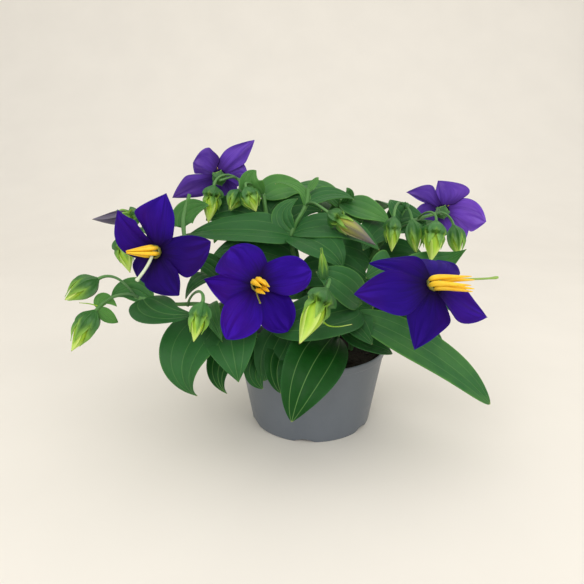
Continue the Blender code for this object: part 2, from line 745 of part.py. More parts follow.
LEFT = Shoot(
    "stem_left",
    stems=[
        Stem([(-24, -2, 57), (-34, -4, 72), (-58, -8, 100), (-82, -6, 122), (-88, 2, 142),
              (-84, 8, 160)], STEM_RADIUS, BRANCH_RADIUS),
        Stem([(-82, -6, 122), (-98, -10, 130), (-112, -12, 138)], BRANCH_RADIUS, 1.0),
    ],
    leaves=[
        Leaf((-89, 2, 138), (-84, 4, 148), (-70, -3, 154), 20, (0.0, -0.8, 0.6)),
        Leaf((-88, 2, 140), (-99, 26, 141), (-110, 42, 146), 16, (-0.3, -0.5, 0.8)),
        Leaf((-60, -8, 102), (-66, -28, 118), (-78, -44, 127), 16, (-0.2, -0.8, 0.5)),
        Leaf((-59, -8, 101), (-68, -32, 110), (-82, -40, 100), 20, (-0.3, -0.5, 0.8)),
        Leaf((-58, -8, 100), (-66, 14, 108), (-84, 34, 98), 28, (-0.2, 0.1, 1.0)),
        Leaf((-80, -6, 121), (-100, 14, 126), (-122, 30, 112), 30, (-0.3, 0.2, 0.9)),
        Leaf((-98, -10, 128), (-112, -20, 130), (-124, -8, 120), 14, (-0.3, -0.4, 0.9)),
    ],
    blooms=[
        Bloom("flower_left", (-90, -62, 133), (-0.38, -0.92, 0.12), (-98, -10, 128),
              [Petal((-84, -56, 165), 25, 2.0, -0.15, 0, 0.2),
               Petal((-112, -56, 156), 17, 5.0, -0.4, 20, -0.9),
               Petal((-105, -52, 116), 18, 2.0, -0.3, 0, 0.2),
               Petal((-76, -75, 111), 25, 2.0, 0.2, 0, -0.2),
               Petal((-58, -70, 138), 23, 3.0, 0.25, 0, 0.8)],
              (-15, -7, 1), (-9, -12, -14), 0.8, 0.9),
    ],
    buds=[
        Bud((-112, -12, 138), (-114, -4, 146), (-142, -18, 146), 12, 11),
        Bud((-112, -12, 138), (-123, -24, 136), (-116, -32, 114), 13, 11),
    ],
)

LOW_LEFT = Shoot(
    "stem_low_left",
    stems=[
        Stem([(-22, -18, 57), (-32, -24, 66), (-52, -38, 84), (-66, -50, 98), (-86, -54, 100),
              (-108, -50, 103)], STEM_RADIUS, 1.1),
    ],
    leaves=[
        Leaf((-103, -51, 102), (-86, -77, 101), (-68, -75, 101), 24, (0.0, -0.35, 0.94), 8),
        Leaf((-98, -51, 101), (-112, -45, 107), (-125, -46, 101), 15, (-0.1, -0.85, 0.5)),
        Leaf((-60, -45, 90), (-76, -72, 72), (-70, -72, 47), 32, (-0.2, -0.8, 0.5), 14),
        Leaf((-54, -39, 86), (-48, -71, 79), (-45, -80, 62), 33, (0.0, -0.8, 0.6), 12),
        Leaf((-42, -31, 76), (-58, -54, 61), (-54, -58, 43), 21, (-0.3, -0.8, 0.4)),
        Leaf((-65, -49, 97), (-60, -68, 98), (-53, -74, 83), 14, (0.1, -0.85, 0.45)),
        Leaf((-50, -37, 83), (-66, -16, 86), (-76, 4, 70), 28, (-0.3, 0.2, 1.0)),
        Leaf((-130, -53, 97), (-127, -50, 102), (-120, -49, 97), 8, (0.0, -0.9, 0.4), 8),
        Leaf((-130, -53, 97), (-125, -51, 91), (-120, -50, 87), 8, (0.2, -0.9, 0.3), 8),
    ],
    blooms=[],
    buds=[
        Bud((-108, -50, 103), (-130, -48, 114), (-148, -56, 103), 16, 12),
        Bud((-106, -51, 103), (-131, -54, 96), (-145, -62, 73), 17, 12),
        Bud((-76, -54, 99), (-62, -80, 109), (-67, -86, 88), 13, 12),
    ],
)

FRONT = Shoot(
    "stem_front",
    stems=[
        Stem([(-4, -24, 57), (-8, -32, 64), (-18, -42, 80), (-28, -46, 96)],
             STEM_RADIUS, BRANCH_RADIUS),
    ],
    leaves=[
        Leaf((-18, -42, 80), (-26, -58, 70), (-31, -64, 54), 24, (0.1, -0.8, 0.6), 10),
        Leaf((-12, -37, 71), (-34, -58, 63), (-31, -64, 49), 19, (0.0, -0.8, 0.6)),
        Leaf((-10, -35, 68), (-22, -62, 66), (-20, -68, 48), 20, (0.2, -0.8, 0.6)),
    ],
    blooms=[
        Bloom("flower_front", (-33, -68, 115), (0.07, -0.93, 0.36), (-28, -46, 96),
              [Petal((-50, -52, 133), 30, 3.0, -0.1, 0, 0.5),
               Petal((-3, -62, 122), 23, 2.0, -0.05, 0, 0.6),
               Petal((-16, -68, 88), 23, 2.0, 0.0, 0, 0.5),
               Petal((-50, -79, 87), 24, 2.0, -0.1, 0, 0.3),
               Petal((-64, -62, 117), 20, 2.0, -0.5, 0, -0.5)],
              (5, -16, 2), (2, -12, -7), 2.4),
    ],
    buds=[],
)

FRONT_RIGHT = Shoot(
    "stem_front_right",
    stems=[
        Stem([(14, -18, 57), (14, -28, 64), (18, -36, 80), (28, -44, 98)],
             STEM_RADIUS, BRANCH_RADIUS),
        Stem([(28, -44, 98), (18, -54, 108), (6, -60, 111)], BRANCH_RADIUS, 1.0),
    ],
    leaves=[
        Leaf((14, -32, 72), (-4, -75, 66), (-14, -85, 39), 35, (0.0, -1.0, 0.35), 10),
        Leaf((18, -36, 80), (34, -46, 72), (50, -47, 67), 24, (0.0, -0.3, 1.0)),
        Leaf((24, -41, 89), (68, -62, 72), (106, -67, 41), 26, (0.2, -0.65, 0.75), 10),
        Leaf((26, -43, 94), (4, -61, 91), (-27, -53, 83), 31, (0.1, -0.6, 0.8), 10),
        Leaf((22, -40, 88), (26, -54, 86), (35, -60, 77), 22, (0.2, -0.6, 0.8)),
        Leaf((28, -44, 98), (15, -56, 113), (0, -55, 120), 22, (-0.2, -0.8, 0.6)),
    ],
    blooms=[
        Bloom("flower_right", (58, -92, 121), (0.27, -0.70, 0.66), (28, -44, 98),
              [Petal((17, -101, 119), 24, 0.0, -0.2, 0, 0.0),
               Petal((28, -76, 129), 17, 3.0, 0.5, 0, -0.3),
               Petal((66, -68, 129), 24, 2.0, 0.0, -20, 0.8),
               Petal((89, -89, 103), 21, 0.0, 0.25, 0, -0.1),
               Petal((49, -100, 89), 27, 1.0, -0.1, 0, -0.5)],
              (17, -10, 4), (32, -3, 5), 3.2),
    ],
    buds=[
        Bud((6, -60, 111), (5, -78, 116), (-10, -92, 89), 14, 14),
        Bud((6, -60, 111), (5, -58, 114), (3, -61, 132), 16, 7),
    ],
)

CENTRE = Shoot(
    "stem_centre",
    stems=[
        Stem([(0, 0, 57), (-2, -3, 80), (-10, -8, 110), (-14, -12, 135), (-5, -6, 153),
              (-3, -2, 164)], STEM_RADIUS, 1.0),
    ],
    leaves=[
        Leaf((-13, -12, 134), (5, -33, 131), (18, -39, 119), 30, (0.1, -0.6, 0.8)),
        Leaf((-13, -12, 136), (16, -20, 139), (43, -22, 127), 22, (0.0, -0.3, 1.0)),
        Leaf((-14, -12, 134), (-48, -14, 138), (-85, 2, 134), 32, (0.0, -0.5, 0.85)),
        Leaf((-13, -12, 137), (-20, -8, 148), (-10, -4, 158), 15, (-0.3, -0.9, 0.2)),
        Leaf((-5, -6, 153), (-9, -2, 164), (-25, 0, 169), 9, (0.0, -0.4, 0.9)),
        Leaf((-4, -5, 155), (12, 4, 160), (29, 8, 157), 14, (0.0, -0.6, 0.8)),
        Leaf((-3, -2, 163), (1, 1, 168), (4, 3, 172), 5, (0.0, -0.9, 0.4)),
        Leaf((-9, -8, 108), (14, -20, 112), (38, -26, 106), 30, (0.0, -0.7, 0.7)),
        Leaf((-6, -6, 94), (14, -24, 98), (36, -30, 88), 28, (0.1, -0.6, 0.8)),
        Leaf((-6, -6, 96), (-28, -22, 102), (-48, -28, 92), 28, (-0.1, -0.7, 0.7)),
        Leaf((-10, -8, 112), (-34, -16, 124), (-58, -22, 122), 34, (0.0, -0.75, 0.65)),
    ],
    blooms=[],
    buds=[
        Bud((-5, -6, 153), (9, -22, 151), (37, -40, 133), 14, 11),
    ],
)

BACK_LEFT = Shoot(
    "stem_back_left",
    stems=[
        Stem([(-16, 14, 57), (-22, 18, 80), (-28, 16, 115), (-31, 8, 142), (-34, 14, 160)],
             STEM_RADIUS, BRANCH_RADIUS),
        Stem([(-33, 13, 158), (-43, 16, 167), (-52, 16, 170)], 1.1, 0.9),
    ],
    leaves=[
        Leaf((-34, 13, 157), (-20, 22, 163), (-3, 20, 161), 24, (0.0, -0.7, 0.7)),
        Leaf((-34, 13, 159), (-42, 10, 168), (-38, 11, 176), 17, (-0.1, -0.9, 0.4)),
        Leaf((-29, 14, 122), (-52, 34, 132), (-76, 52, 120), 32, (-0.2, 0.2, 1.0)),
        Leaf((-30, 10, 134), (-14, 18, 150), (8, 20, 148), 30, (0.0, -0.9, 0.45)),
        Leaf((-30, 10, 136), (-52, 12, 148), (-74, 10, 142), 28, (0.0, -0.9, 0.45)),
        Leaf((-28, 16, 116), (-20, 44, 126), (-14, 74, 114), 32, (0.0, 0.3, 1.0)),
        Leaf((-22, 18, 82), (-46, 40, 92), (-68, 62, 76), 30, (-0.3, 0.3, 0.9)),
        Leaf((-23, 18, 88), (-8, 46, 96), (-2, 74, 80), 30, (0.0, 0.4, 0.9)),
        Leaf((-31, 9, 143), (-40, 36, 146), (-46, 64, 134), 24, (-0.2, 0.2, 1.0)),
    ],
    blooms=[
        Bloom("flower_back_left", (-65, 20, 172), (-0.14, 0.95, 0.28), (-52, 16, 170),
              [Petal((-40, 25, 196), 16, 3.0, 0.0, 0, -0.5),
               Petal((-86, 28, 173), 23, 4.0, -0.2, 0, -0.6),
               Petal((-98, 17, 157), 20, 4.0, 0.0, 0, -0.3),
               Petal((-64, 34, 145), 24, 3.0, 0.0, 0, 0.2),
               Petal((-46, 28, 173), 22, 4.0, 0.0, 0, 0.4)],
              (-7, 15, 4), (8, 12, -3)),
    ],
    buds=[
        Bud((-52, 16, 170), (-67, 8, 166), (-71, 2, 141), 12, 12),
        Bud((-52, 16, 170), (-50, 10, 163), (-56, 4, 150), 12, 10),
        Bud((-36, 14, 161), (-45, 4, 165), (-38, 0, 149), 11, 12),
    ],
)

BACK_RIGHT = Shoot(
    "stem_back_right",
    stems=[
        Stem([(20, 12, 57), (28, 16, 80), (42, 20, 110), (58, 20, 134), (66, 22, 148)],
             STEM_RADIUS, BRANCH_RADIUS),
        Stem([(58, 20, 134), (76, 18, 142), (88, 16, 146)], BRANCH_RADIUS, 1.0),
    ],
    leaves=[
        Leaf((58, 20, 134), (46, 4, 136), (34, -8, 124), 28, (0.0, -0.6, 0.8)),
        Leaf((65, 22, 145), (60, 14, 149), (56, 20, 156), 17, (0.0, -0.8, 0.6)),
        Leaf((42, 20, 111), (64, 20, 118), (86, 16, 108), 26, (0.2, -0.5, 0.85)),
        Leaf((42, 20, 110), (50, 46, 120), (66, 72, 106), 32, (0.2, 0.3, 0.9)),
        Leaf((43, 20, 112), (22, 7, 124), (-2, 4, 122), 32, (0.0, -0.8, 0.6)),
        Leaf((58, 20, 133), (70, 30, 141), (88, 34, 135), 24, (0.0, -0.9, 0.45)),
        Leaf((59, 20, 135), (80, 40, 136), (104, 62, 118), 30, (0.3, 0.3, 0.9)),
        Leaf((29, 16, 82), (58, 28, 90), (88, 30, 72), 30, (0.3, 0.2, 0.9)),
        Leaf((66, 22, 147), (58, 42, 149), (54, 66, 140), 24, (0.0, 0.3, 0.95)),
    ],
    blooms=[
        Bloom("flower_back_right", (103, 50, 145), (0.36, 0.91, 0.20), (88, 16, 146),
              [Petal((100, 59, 167), 26, 3.0, -0.65, 0, -0.4),
               Petal((76, 60, 158), 15, 3.0, -0.7, 0, -0.2),
               Petal((85, 66, 131), 23, 3.0, 0.0, 0, 0.2),
               Petal((123, 49, 119), 24, 3.0, 0.0, 0, -0.2),
               Petal((134, 42, 137), 28, 3.0, -0.35, 0, 0.0)],
              (12, 13, 3), (-2, 15, 6)),
    ],
    buds=[
        Bud((66, 22, 148), (53, -10, 147), (52, -14, 124), 13, 10),
        Bud((66, 22, 148), (69, 6, 143), (72, 0, 121), 14, 11),
        Bud((76, 18, 142), (84, 0, 143), (80, -8, 116), 14, 14),
        Bud((88, 16, 146), (101, 16, 138), (104, 8, 117), 14, 11),
    ],
)

RIGHT = Shoot(
    "stem_right",
    stems=[
        Stem([(28, -6, 57), (36, -10, 74), (46, -14, 96), (54, -18, 112)],
             STEM_RADIUS, BRANCH_RADIUS),
    ],
    leaves=[
        Leaf((54, -18, 112), (45, -32, 117), (32, -37, 112), 24, (0.0, -0.8, 0.6)),
        Leaf((54, -18, 111), (86, -2, 113), (102, -10, 125), 24, (0.3, -0.8, 0.5)),
        Leaf((46, -14, 96), (74, -20, 98), (100, -36, 82), 28, (0.2, -0.4, 0.9)),
        Leaf((37, -10, 76), (66, -14, 76), (92, -22, 58), 28, (0.3, -0.3, 0.9)),
        Leaf((46, -14, 97), (58, 2, 100), (84, 14, 92), 26, (0.2, 0.2, 1.0)),
        Leaf((53, -18, 110), (62, -36, 110), (52, -56, 100), 24, (0.3, -0.4, 0.85)),
    ],
    blooms=[],
    buds=[],
)

BACK = Shoot(
    "stem_back",
    stems=[
        Stem([(2, 26, 57), (6, 32, 80), (12, 32, 115), (16, 28, 140), (22, 22, 155)],
             STEM_RADIUS, BRANCH_RADIUS),
    ],
    leaves=[
        Leaf((22, 22, 153), (38, 10, 148), (53, 2, 142), 23, (0.0, -0.6, 0.8)),
        Leaf((20, 23, 150), (4, 44, 162), (-14, 50, 162), 20, (-0.1, -0.3, 0.95)),
        Leaf((16, 28, 140), (18, 56, 150), (24, 84, 138), 30, (0.0, 0.3, 1.0)),
        Leaf((15, 29, 134), (28, 24, 144), (42, 22, 140), 25, (0.0, -0.9, 0.4)),
        Leaf((12, 32, 116), (20, 60, 124), (20, 90, 108), 32, (0.1, 0.4, 0.9)),
        Leaf((7, 32, 84), (26, 60, 88), (40, 84, 68), 32, (0.1, 0.4, 0.9)),
        Leaf((6, 31, 76), (-14, 62, 76), (-30, 84, 58), 30, (-0.2, 0.4, 0.9)),
        Leaf((21, 23, 150), (32, 38, 153), (40, 56, 146), 22, (0.2, 0.3, 0.9)),
        Leaf((21, 23, 150), (12, 20, 159), (2, 16, 162), 12, (0.0, -0.8, 0.6)),
        Leaf((22, 22, 152), (26, 16, 159), (24, 14, 164), 8, (0.2, -0.9, 0.3)),
    ],
    blooms=[],
    buds=[],
)

SHOOTS = (LEFT, LOW_LEFT, FRONT, FRONT_RIGHT, CENTRE, BACK_LEFT, BACK_RIGHT, RIGHT, BACK)


def clear_scene():
    """Removes whatever the scene holds."""
    for obj in list(bpy.data.objects):
        bpy.data.objects.remove(obj, do_unlink=True)


def main():
    """Builds the pot, the soil and every shoot with its flowers and buds."""
    clear_scene()
    pot_grey = make_material("pot_grey", (0.13, 0.14, 0.15), 0.45)
    soil_brown = make_material("soil_brown", (0.02, 0.014, 0.01), 0.95)
    leaf_green = make_material("leaf_green", (0.03, 0.13, 0.03), 0.4)
    petal_violet = make_material("petal_violet", (0.05, 0.008, 0.28), 0.5)
    anther_yellow = make_material("anther_yellow", (0.9, 0.45, 0.01), 0.5)
    style_green = make_material("style_green", (0.35, 0.5, 0.2), 0.5)
    bud_lime = make_material("bud_lime", (0.35, 0.5, 0.05), 0.45)
    make_pot(pot_grey)
    make_soil(soil_brown, [shoot.stems[0].points[0][:2] for shoot in SHOOTS])
    for shoot in SHOOTS:
        make_shoot(shoot, leaf_green)
        for bloom in shoot.blooms:
            make_corolla(bloom, petal_violet)
            make_stamens(bloom, anther_yellow)
            make_pistil(bloom, style_green)
        for i, bud in enumerate(shoot.buds):
            name = shoot.name.replace("stem", "bud") + f"_{i + 1}"
            single_object(name, *bud_solid(bud), bud_lime)


main()
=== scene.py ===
"""Looks of the potted persian violet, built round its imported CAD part.

Every place in the plant's layout is in millimetres in the part's own frame: the origin is the
centre of the pot's underside, +Z is up and -Y is the side that faces the viewer.
"""

import logging
import math
from dataclasses import dataclass
from enum import Enum
from typing import Callable, Sequence

import bpy
import numpy as np
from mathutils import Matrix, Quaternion, Vector

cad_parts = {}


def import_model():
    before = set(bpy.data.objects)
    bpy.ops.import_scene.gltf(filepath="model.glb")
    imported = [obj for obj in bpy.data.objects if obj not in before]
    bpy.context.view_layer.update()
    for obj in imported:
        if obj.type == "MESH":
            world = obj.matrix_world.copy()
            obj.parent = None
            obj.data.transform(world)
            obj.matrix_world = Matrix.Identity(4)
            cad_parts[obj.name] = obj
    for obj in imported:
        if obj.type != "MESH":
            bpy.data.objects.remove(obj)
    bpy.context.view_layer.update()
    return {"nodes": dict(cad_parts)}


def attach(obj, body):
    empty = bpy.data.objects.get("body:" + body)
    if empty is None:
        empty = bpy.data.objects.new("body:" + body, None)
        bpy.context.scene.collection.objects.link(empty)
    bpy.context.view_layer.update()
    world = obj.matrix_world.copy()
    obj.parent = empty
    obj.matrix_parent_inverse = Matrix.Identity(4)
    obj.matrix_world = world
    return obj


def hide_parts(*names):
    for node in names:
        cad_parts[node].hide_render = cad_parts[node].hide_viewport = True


Point = tuple[float, float, float]
Colour = tuple[float, float, float]
Table = Sequence[tuple[float, float]]
Socket = bpy.types.NodeSocket
Feed = bpy.types.NodeSocket | float
Shade = bpy.types.NodeSocket | Colour
Material = bpy.types.Material

MM = 0.001
UP = Vector((0.0, 0.0, 1.0))

# The tube is the one behind a flower's throat. A vein's place is a share of the half width, and
# the half unit is the half width that the look layer holds as 1.
STEM_RADIUS = 1.8
BRANCH_RADIUS = 1.3
TUBE_LENGTH = 6.0
VEIN_PLACES = (0.0, 0.5)
HALF_UNIT = 20.0

log = logging.getLogger("violet")


class Slot(Enum):
    """The record's material slots."""

    POT = "pot_plastic"
    SOIL = "soil"
    LEAF = "leaf"
    PETAL = "petal"
    ANTHER = "anther"
    STYLE = "style"
    BUD = "bud"


class Layer(Enum):
    """The two texture layers of each piece.

    The blade layer holds a point's share across and along its sheet. The look layer holds a
    tone from 0 to 1, and a second number: a leaf's half width or a bud's phase.
    """

    BLADE = "blade"
    LOOK = "look"


class Maths(Enum):
    """The operations on numbers that the finishes use."""

    ADD = "ADD"
    SUBTRACT = "SUBTRACT"
    MULTIPLY = "MULTIPLY"
    ABSOLUTE = "ABSOLUTE"
    MINIMUM = "MINIMUM"


class Mixing(Enum):
    """The ways of mixing two colours that the finishes use."""

    MIX = "MIX"
    MULTIPLY = "MULTIPLY"


class BudLook(Enum):
    """The colours of a bud: lime, slate, or lime that fades to slate."""

    LIME = "bud_lime"
    SLATE = "bud_slate"
    FADING = "bud_fading"


class StyleLook(Enum):
    """The colours of a style: pale, green, or the collar's olive."""

    PALE = "style_pale"
    GREEN = "style_green"
    OLIVE = "collar_olive"


@dataclass(frozen=True)
class Stem:
    """A stem or branch: its line of points and its radius at both ends."""

    points: Sequence[Point]
    start_radius: float = STEM_RADIUS
    end_radius: float = BRANCH_RADIUS


@dataclass(frozen=True)
class Leaf:
    """A leaf blade on an arched midrib.

    Face is the way its upper side looks, and fold how far its halves rise, in degrees. Its tone
    runs from deep green at 0 to young green at 1, and also paints light and shade: a lit leaf
    has a higher tone and a shaded one a lower; without one, its height gives it. A high taper
    draws its tip out, a low one rounds it.
    """

    base: Point
    middle: Point
    tip: Point
    width: float
    face: Point
    fold: float = 14.0
    tone: float | None = None
    taper: float = 0.9


@dataclass(frozen=True)
class Petal:
    """One petal: its tip, its greatest width and how far its middle bows forward.

    Skew moves its width to one side as a share, twist turns it about its midrib in degrees
    and blunt runs from a long drawn end at -1 to a squared one at 1. Its tone is painted
    light and shade: it runs from a shaded, dark petal at 0 to a lit, bright one at 1.
    """

    tip: Point
    width: float
    lift: float
    skew: float = 0.0
    twist: float = 0.0
    blunt: float = 0.0
    tone: float = 0.5


@dataclass(frozen=True)
class Bloom:
    """An open flower: throat, facing, where its stalk starts, petals, anther cone and style.

    The anthers and the style are given by their tips, as seen from the throat. Splay is how far
    the anthers' tips stand off the cone's axis, rod the style's radius, stout how much thicker
    than usual the anthers are, and look the style's colour.
    """

    name: str
    centre: Point
    facing: Point
    stalk: Point
    petals: Sequence[Petal]
    anthers: Point
    style: Point
    splay: float = 1.7
    rod: float = 0.5
    stout: float = 1.0
    look: StyleLook = StyleLook.PALE


@dataclass(frozen=True)
class Bud:
    """A closed bud: where its stalk starts, neck, tip, and its calyx's length and width.

    Cover is how far the sepals' points reach, as a share of the calyx's length.
    """

    stalk: Point
    neck: Point
    tip: Point
    length: float
    width: float
    cover: float = 1.25
    look: BudLook = BudLook.LIME


@dataclass(frozen=True)
class Shoot:
    """One leafy stem with everything that grows on it; threads are the styles of spent flowers."""

    name: str
    stems: Sequence[Stem]
    leaves: Sequence[Leaf]
    blooms: Sequence[Bloom]
    buds: Sequence[Bud]
    threads: Sequence[Sequence[Point]] = ()


# Layout of the plant, as it stands in its pot. The first stem of each shoot starts at its foot.

# A petal's tone, and a leaf's where one is given, are painted light and shade: lit ones are set high,
# shaded ones low.
LEFT = Shoot(
    "stem_left",
    stems=[
        Stem([(-24, -2, 57), (-34, -4, 72), (-58, -8, 100), (-82, -6, 122), (-88, 2, 142),
              (-84, 8, 160)]),
        Stem([(-82, -6, 122), (-98, -10, 130), (-112, -12, 138)], BRANCH_RADIUS, 1.0),
    ],
    leaves=[
        Leaf((-89, 2, 138), (-84, 4, 148), (-70, -3, 154), 20, (0.0, -0.8, 0.6)),
        Leaf((-88, 2, 140), (-99, 26, 141), (-110, 42, 146), 16, (-0.3, -0.5, 0.8)),
        Leaf((-60, -8, 102), (-66, -28, 118), (-78, -44, 127), 16, (-0.2, -0.8, 0.5)),
        Leaf((-59, -8, 101), (-68, -32, 110), (-82, -40, 100), 20, (-0.3, -0.5, 0.8)),
        Leaf((-58, -8, 100), (-66, 14, 108), (-84, 34, 98), 28, (-0.2, 0.1, 1.0)),
        Leaf((-80, -6, 121), (-100, 14, 126), (-122, 30, 112), 30, (-0.3, 0.2, 0.9)),
        Leaf((-98, -10, 128), (-112, -20, 130), (-124, -8, 120), 14, (-0.3, -0.4, 0.9)),
    ],
    blooms=[
        Bloom("flower_left", (-90, -62, 133), (-0.38, -0.92, 0.12), (-98, -10, 128),
              [Petal((-84, -56, 165), 32, 2.0, -0.25, 0, -0.35, 0.5),
               Petal((-112, -56, 156), 19, 5.0, -0.25, 20, -0.8, 0.4),
               Petal((-105, -52, 116), 18, 2.0, -0.3, 0, 0.2, 0.0),
               Petal((-76, -75, 111), 25, 2.0, 0.2, 0, -0.2, 0.05),
               Petal((-58, -70, 140), 24, 3.0, 0.5, 0, 0.4, 0.12)],
              (-15, -7, 1), (-9, -12, -14), 0.8, 0.9),
    ],
    buds=[
        Bud((-112, -12, 138), (-114, -4, 146), (-142, -18, 146), 12, 11, look=BudLook.SLATE),
        Bud((-112, -12, 138), (-123, -24, 136), (-116, -32, 114), 13, 11),
    ],
)

LOW_LEFT = Shoot(
    "stem_low_left",
    stems=[
        Stem([(-22, -18, 57), (-32, -24, 66), (-52, -38, 84), (-66, -50, 98), (-86, -54, 100),
              (-108, -50, 103)], end_radius=1.1),
    ],
    leaves=[
        Leaf((-103, -51, 102), (-86, -77, 101), (-68, -75, 101), 24, (0.0, -0.35, 0.94), 8, tone=0.35),
        Leaf((-98, -51, 101), (-112, -45, 107), (-125, -46, 101), 15, (-0.1, -0.85, 0.5), tone=0.8),
        Leaf((-60, -45, 90), (-76, -72, 72), (-70, -72, 47), 35, (-0.2, -0.8, 0.5), 14, 0.6, 1.35),
        Leaf((-54, -39, 86), (-48, -71, 79), (-44, -80, 61), 33, (0.0, -0.8, 0.6), 12, 0.55, 1.2),
        Leaf((-42, -31, 76), (-58, -54, 61), (-54, -58, 43), 21, (-0.3, -0.8, 0.4), 14, 0.1, 1.25),
        Leaf((-65, -49, 97), (-60, -68, 98), (-53, -74, 83), 13, (0.1, -0.85, 0.45), 14, 0.8, 1.1),
        Leaf((-50, -37, 83), (-66, -16, 86), (-76, 4, 70), 28, (-0.3, 0.2, 1.0)),
        Leaf((-130, -53, 97), (-127, -50, 102), (-120, -49, 97), 8, (0.0, -0.9, 0.4), 8, tone=1.0),
        Leaf((-130, -53, 97), (-125, -51, 91), (-120, -50, 87), 8, (0.2, -0.9, 0.3), 8, tone=1.0),
    ],
    blooms=[],
    buds=[
        Bud((-108, -50, 103), (-130, -48, 114), (-148, -56, 103), 16, 12),
        Bud((-106, -51, 103), (-131, -54, 96), (-145, -62, 73), 17, 12),
        Bud((-76, -54, 99), (-62, -80, 109), (-67, -86, 88), 13, 10),
    ],
    threads=[((-129, -53, 98), (-134, -54, 100), (-140, -55, 101))],
)

FRONT = Shoot(
    "stem_front",
    stems=[
        Stem([(-4, -24, 57), (-8, -32, 64), (-18, -42, 80), (-28, -46, 96)]),
    ],
    leaves=[
        Leaf((-18, -42, 80), (-26, -58, 70), (-31, -64, 54), 24, (0.1, -0.8, 0.6), 10),
        Leaf((-12, -37, 71), (-34, -58, 63), (-31, -64, 49), 19, (0.0, -0.8, 0.6)),
        Leaf((-10, -35, 68), (-22, -62, 66), (-20, -68, 48), 20, (0.2, -0.8, 0.6)),
    ],
    blooms=[
        Bloom("flower_front", (-33, -68, 115), (0.07, -0.93, 0.36), (-28, -46, 96),
              [Petal((-50, -52, 133), 30, 3.0, -0.1, 0, 0.5, 0.58),
               Petal((-3, -62, 122), 23, 2.0, -0.05, 0, 0.6, 0.6),
               Petal((-16, -68, 88), 23, 2.0, 0.0, 0, 0.5, 0.55),
               Petal((-50, -79, 87), 24, 2.0, -0.1, 0, 0.3, 0.75),
               Petal((-64, -62, 117), 20, 2.0, -0.5, 0, -0.5, 0.65)],
              (5, -16, 2), (2, -12, -7), 2.6, 0.4, 1.35, StyleLook.OLIVE),
    ],
    buds=[],
)

FRONT_RIGHT = Shoot(
    "stem_front_right",
    stems=[
        Stem([(14, -18, 57), (14, -28, 64), (18, -36, 80), (28, -44, 98)]),
        Stem([(28, -44, 98), (18, -54, 108), (6, -60, 111)], BRANCH_RADIUS, 1.0),
    ],
    leaves=[
        Leaf((14, -32, 72), (-4, -75, 66), (-14, -85, 39), 35, (0.0, -1.0, 0.35), 10, tone=0.0),
        Leaf((18, -36, 80), (34, -46, 72), (50, -47, 67), 24, (0.0, -0.3, 1.0)),
        Leaf((24, -41, 89), (68, -62, 72), (106, -67, 41), 26, (0.2, -0.65, 0.75), 10, 0.76, 0.7),
        Leaf((26, -43, 94), (4, -60, 94), (-27, -53, 85), 34, (0.1, -0.6, 0.8), 10, taper=0.6),
        Leaf((22, -40, 88), (26, -54, 86), (35, -60, 77), 22, (0.2, -0.6, 0.8)),
        Leaf((28, -44, 98), (15, -56, 113), (0, -55, 120), 22, (-0.2, -0.8, 0.6)),
    ],
    blooms=[
        Bloom("flower_right", (58, -92, 121), (0.27, -0.70, 0.66), (28, -44, 98),
              [Petal((17, -101, 119), 24, 0.0, -0.2, 0, 0.0, 0.33),
               Petal((28, -76, 129), 16, 3.0, 0.35, 0, -0.3, 0.2),
               Petal((66, -68, 129), 24, 2.0, 0.0, -20, 0.8, 0.2),
               Petal((89, -89, 103), 21, 0.0, 0.25, 0, -0.1),
               Petal((49, -100, 89), 27, 1.0, -0.1, 0, -0.5, 0.2)],
              (17, -10, 4), (32, -3, 5), 5.0, 0.55, 1.2, StyleLook.GREEN),
    ],
    buds=[
        Bud((6, -60, 111), (5, -78, 116), (-10, -92, 89), 14, 14),
        Bud((6, -60, 111), (5, -58, 114), (3, -61, 132), 16, 5),
    ],
    threads=[((2, -84, 100), (6, -82, 96), (12, -78, 94), (20, -74, 94))],
)

CENTRE = Shoot(
    "stem_centre",
    stems=[
        Stem([(0, 0, 57), (-2, -3, 80), (-10, -8, 110), (-14, -12, 135), (-5, -6, 153),
              (-3, -2, 164)], end_radius=1.0),
    ],
    leaves=[
        Leaf((-13, -12, 134), (5, -33, 131), (18, -39, 119), 30, (0.1, -0.6, 0.8)),
        Leaf((-13, -12, 136), (16, -20, 140), (43, -22, 127), 25, (0.0, -0.55, 0.85)),
        Leaf((-14, -12, 134), (-48, -14, 138), (-85, 2, 134), 32, (0.0, -0.5, 0.85)),
        Leaf((-13, -12, 137), (-20, -8, 148), (-10, -4, 158), 15, (-0.3, -0.9, 0.2)),
        Leaf((-5, -6, 153), (-9, -2, 164), (-25, 0, 169), 9, (0.0, -0.4, 0.9)),
        Leaf((-4, -5, 155), (12, 4, 160), (29, 8, 157), 14, (0.0, -0.6, 0.8)),
        Leaf((-3, -2, 163), (1, 1, 168), (4, 3, 172), 5, (0.0, -0.9, 0.4)),
        Leaf((-9, -8, 108), (14, -20, 112), (38, -26, 106), 30, (0.0, -0.7, 0.7)),
        Leaf((-6, -6, 94), (14, -24, 98), (39, -31, 91), 33, (0.1, -0.6, 0.8), taper=0.6),
        Leaf((-6, -6, 96), (-28, -22, 102), (-48, -28, 92), 28, (-0.1, -0.7, 0.7)),
        Leaf((-10, -8, 112), (-35, -17, 124), (-65, -23, 124), 34, (0.0, -0.75, 0.65)),
    ],
    blooms=[],
    buds=[
        Bud((-5, -6, 153), (9, -22, 151), (37, -40, 133), 14, 11, look=BudLook.FADING),
    ],
)

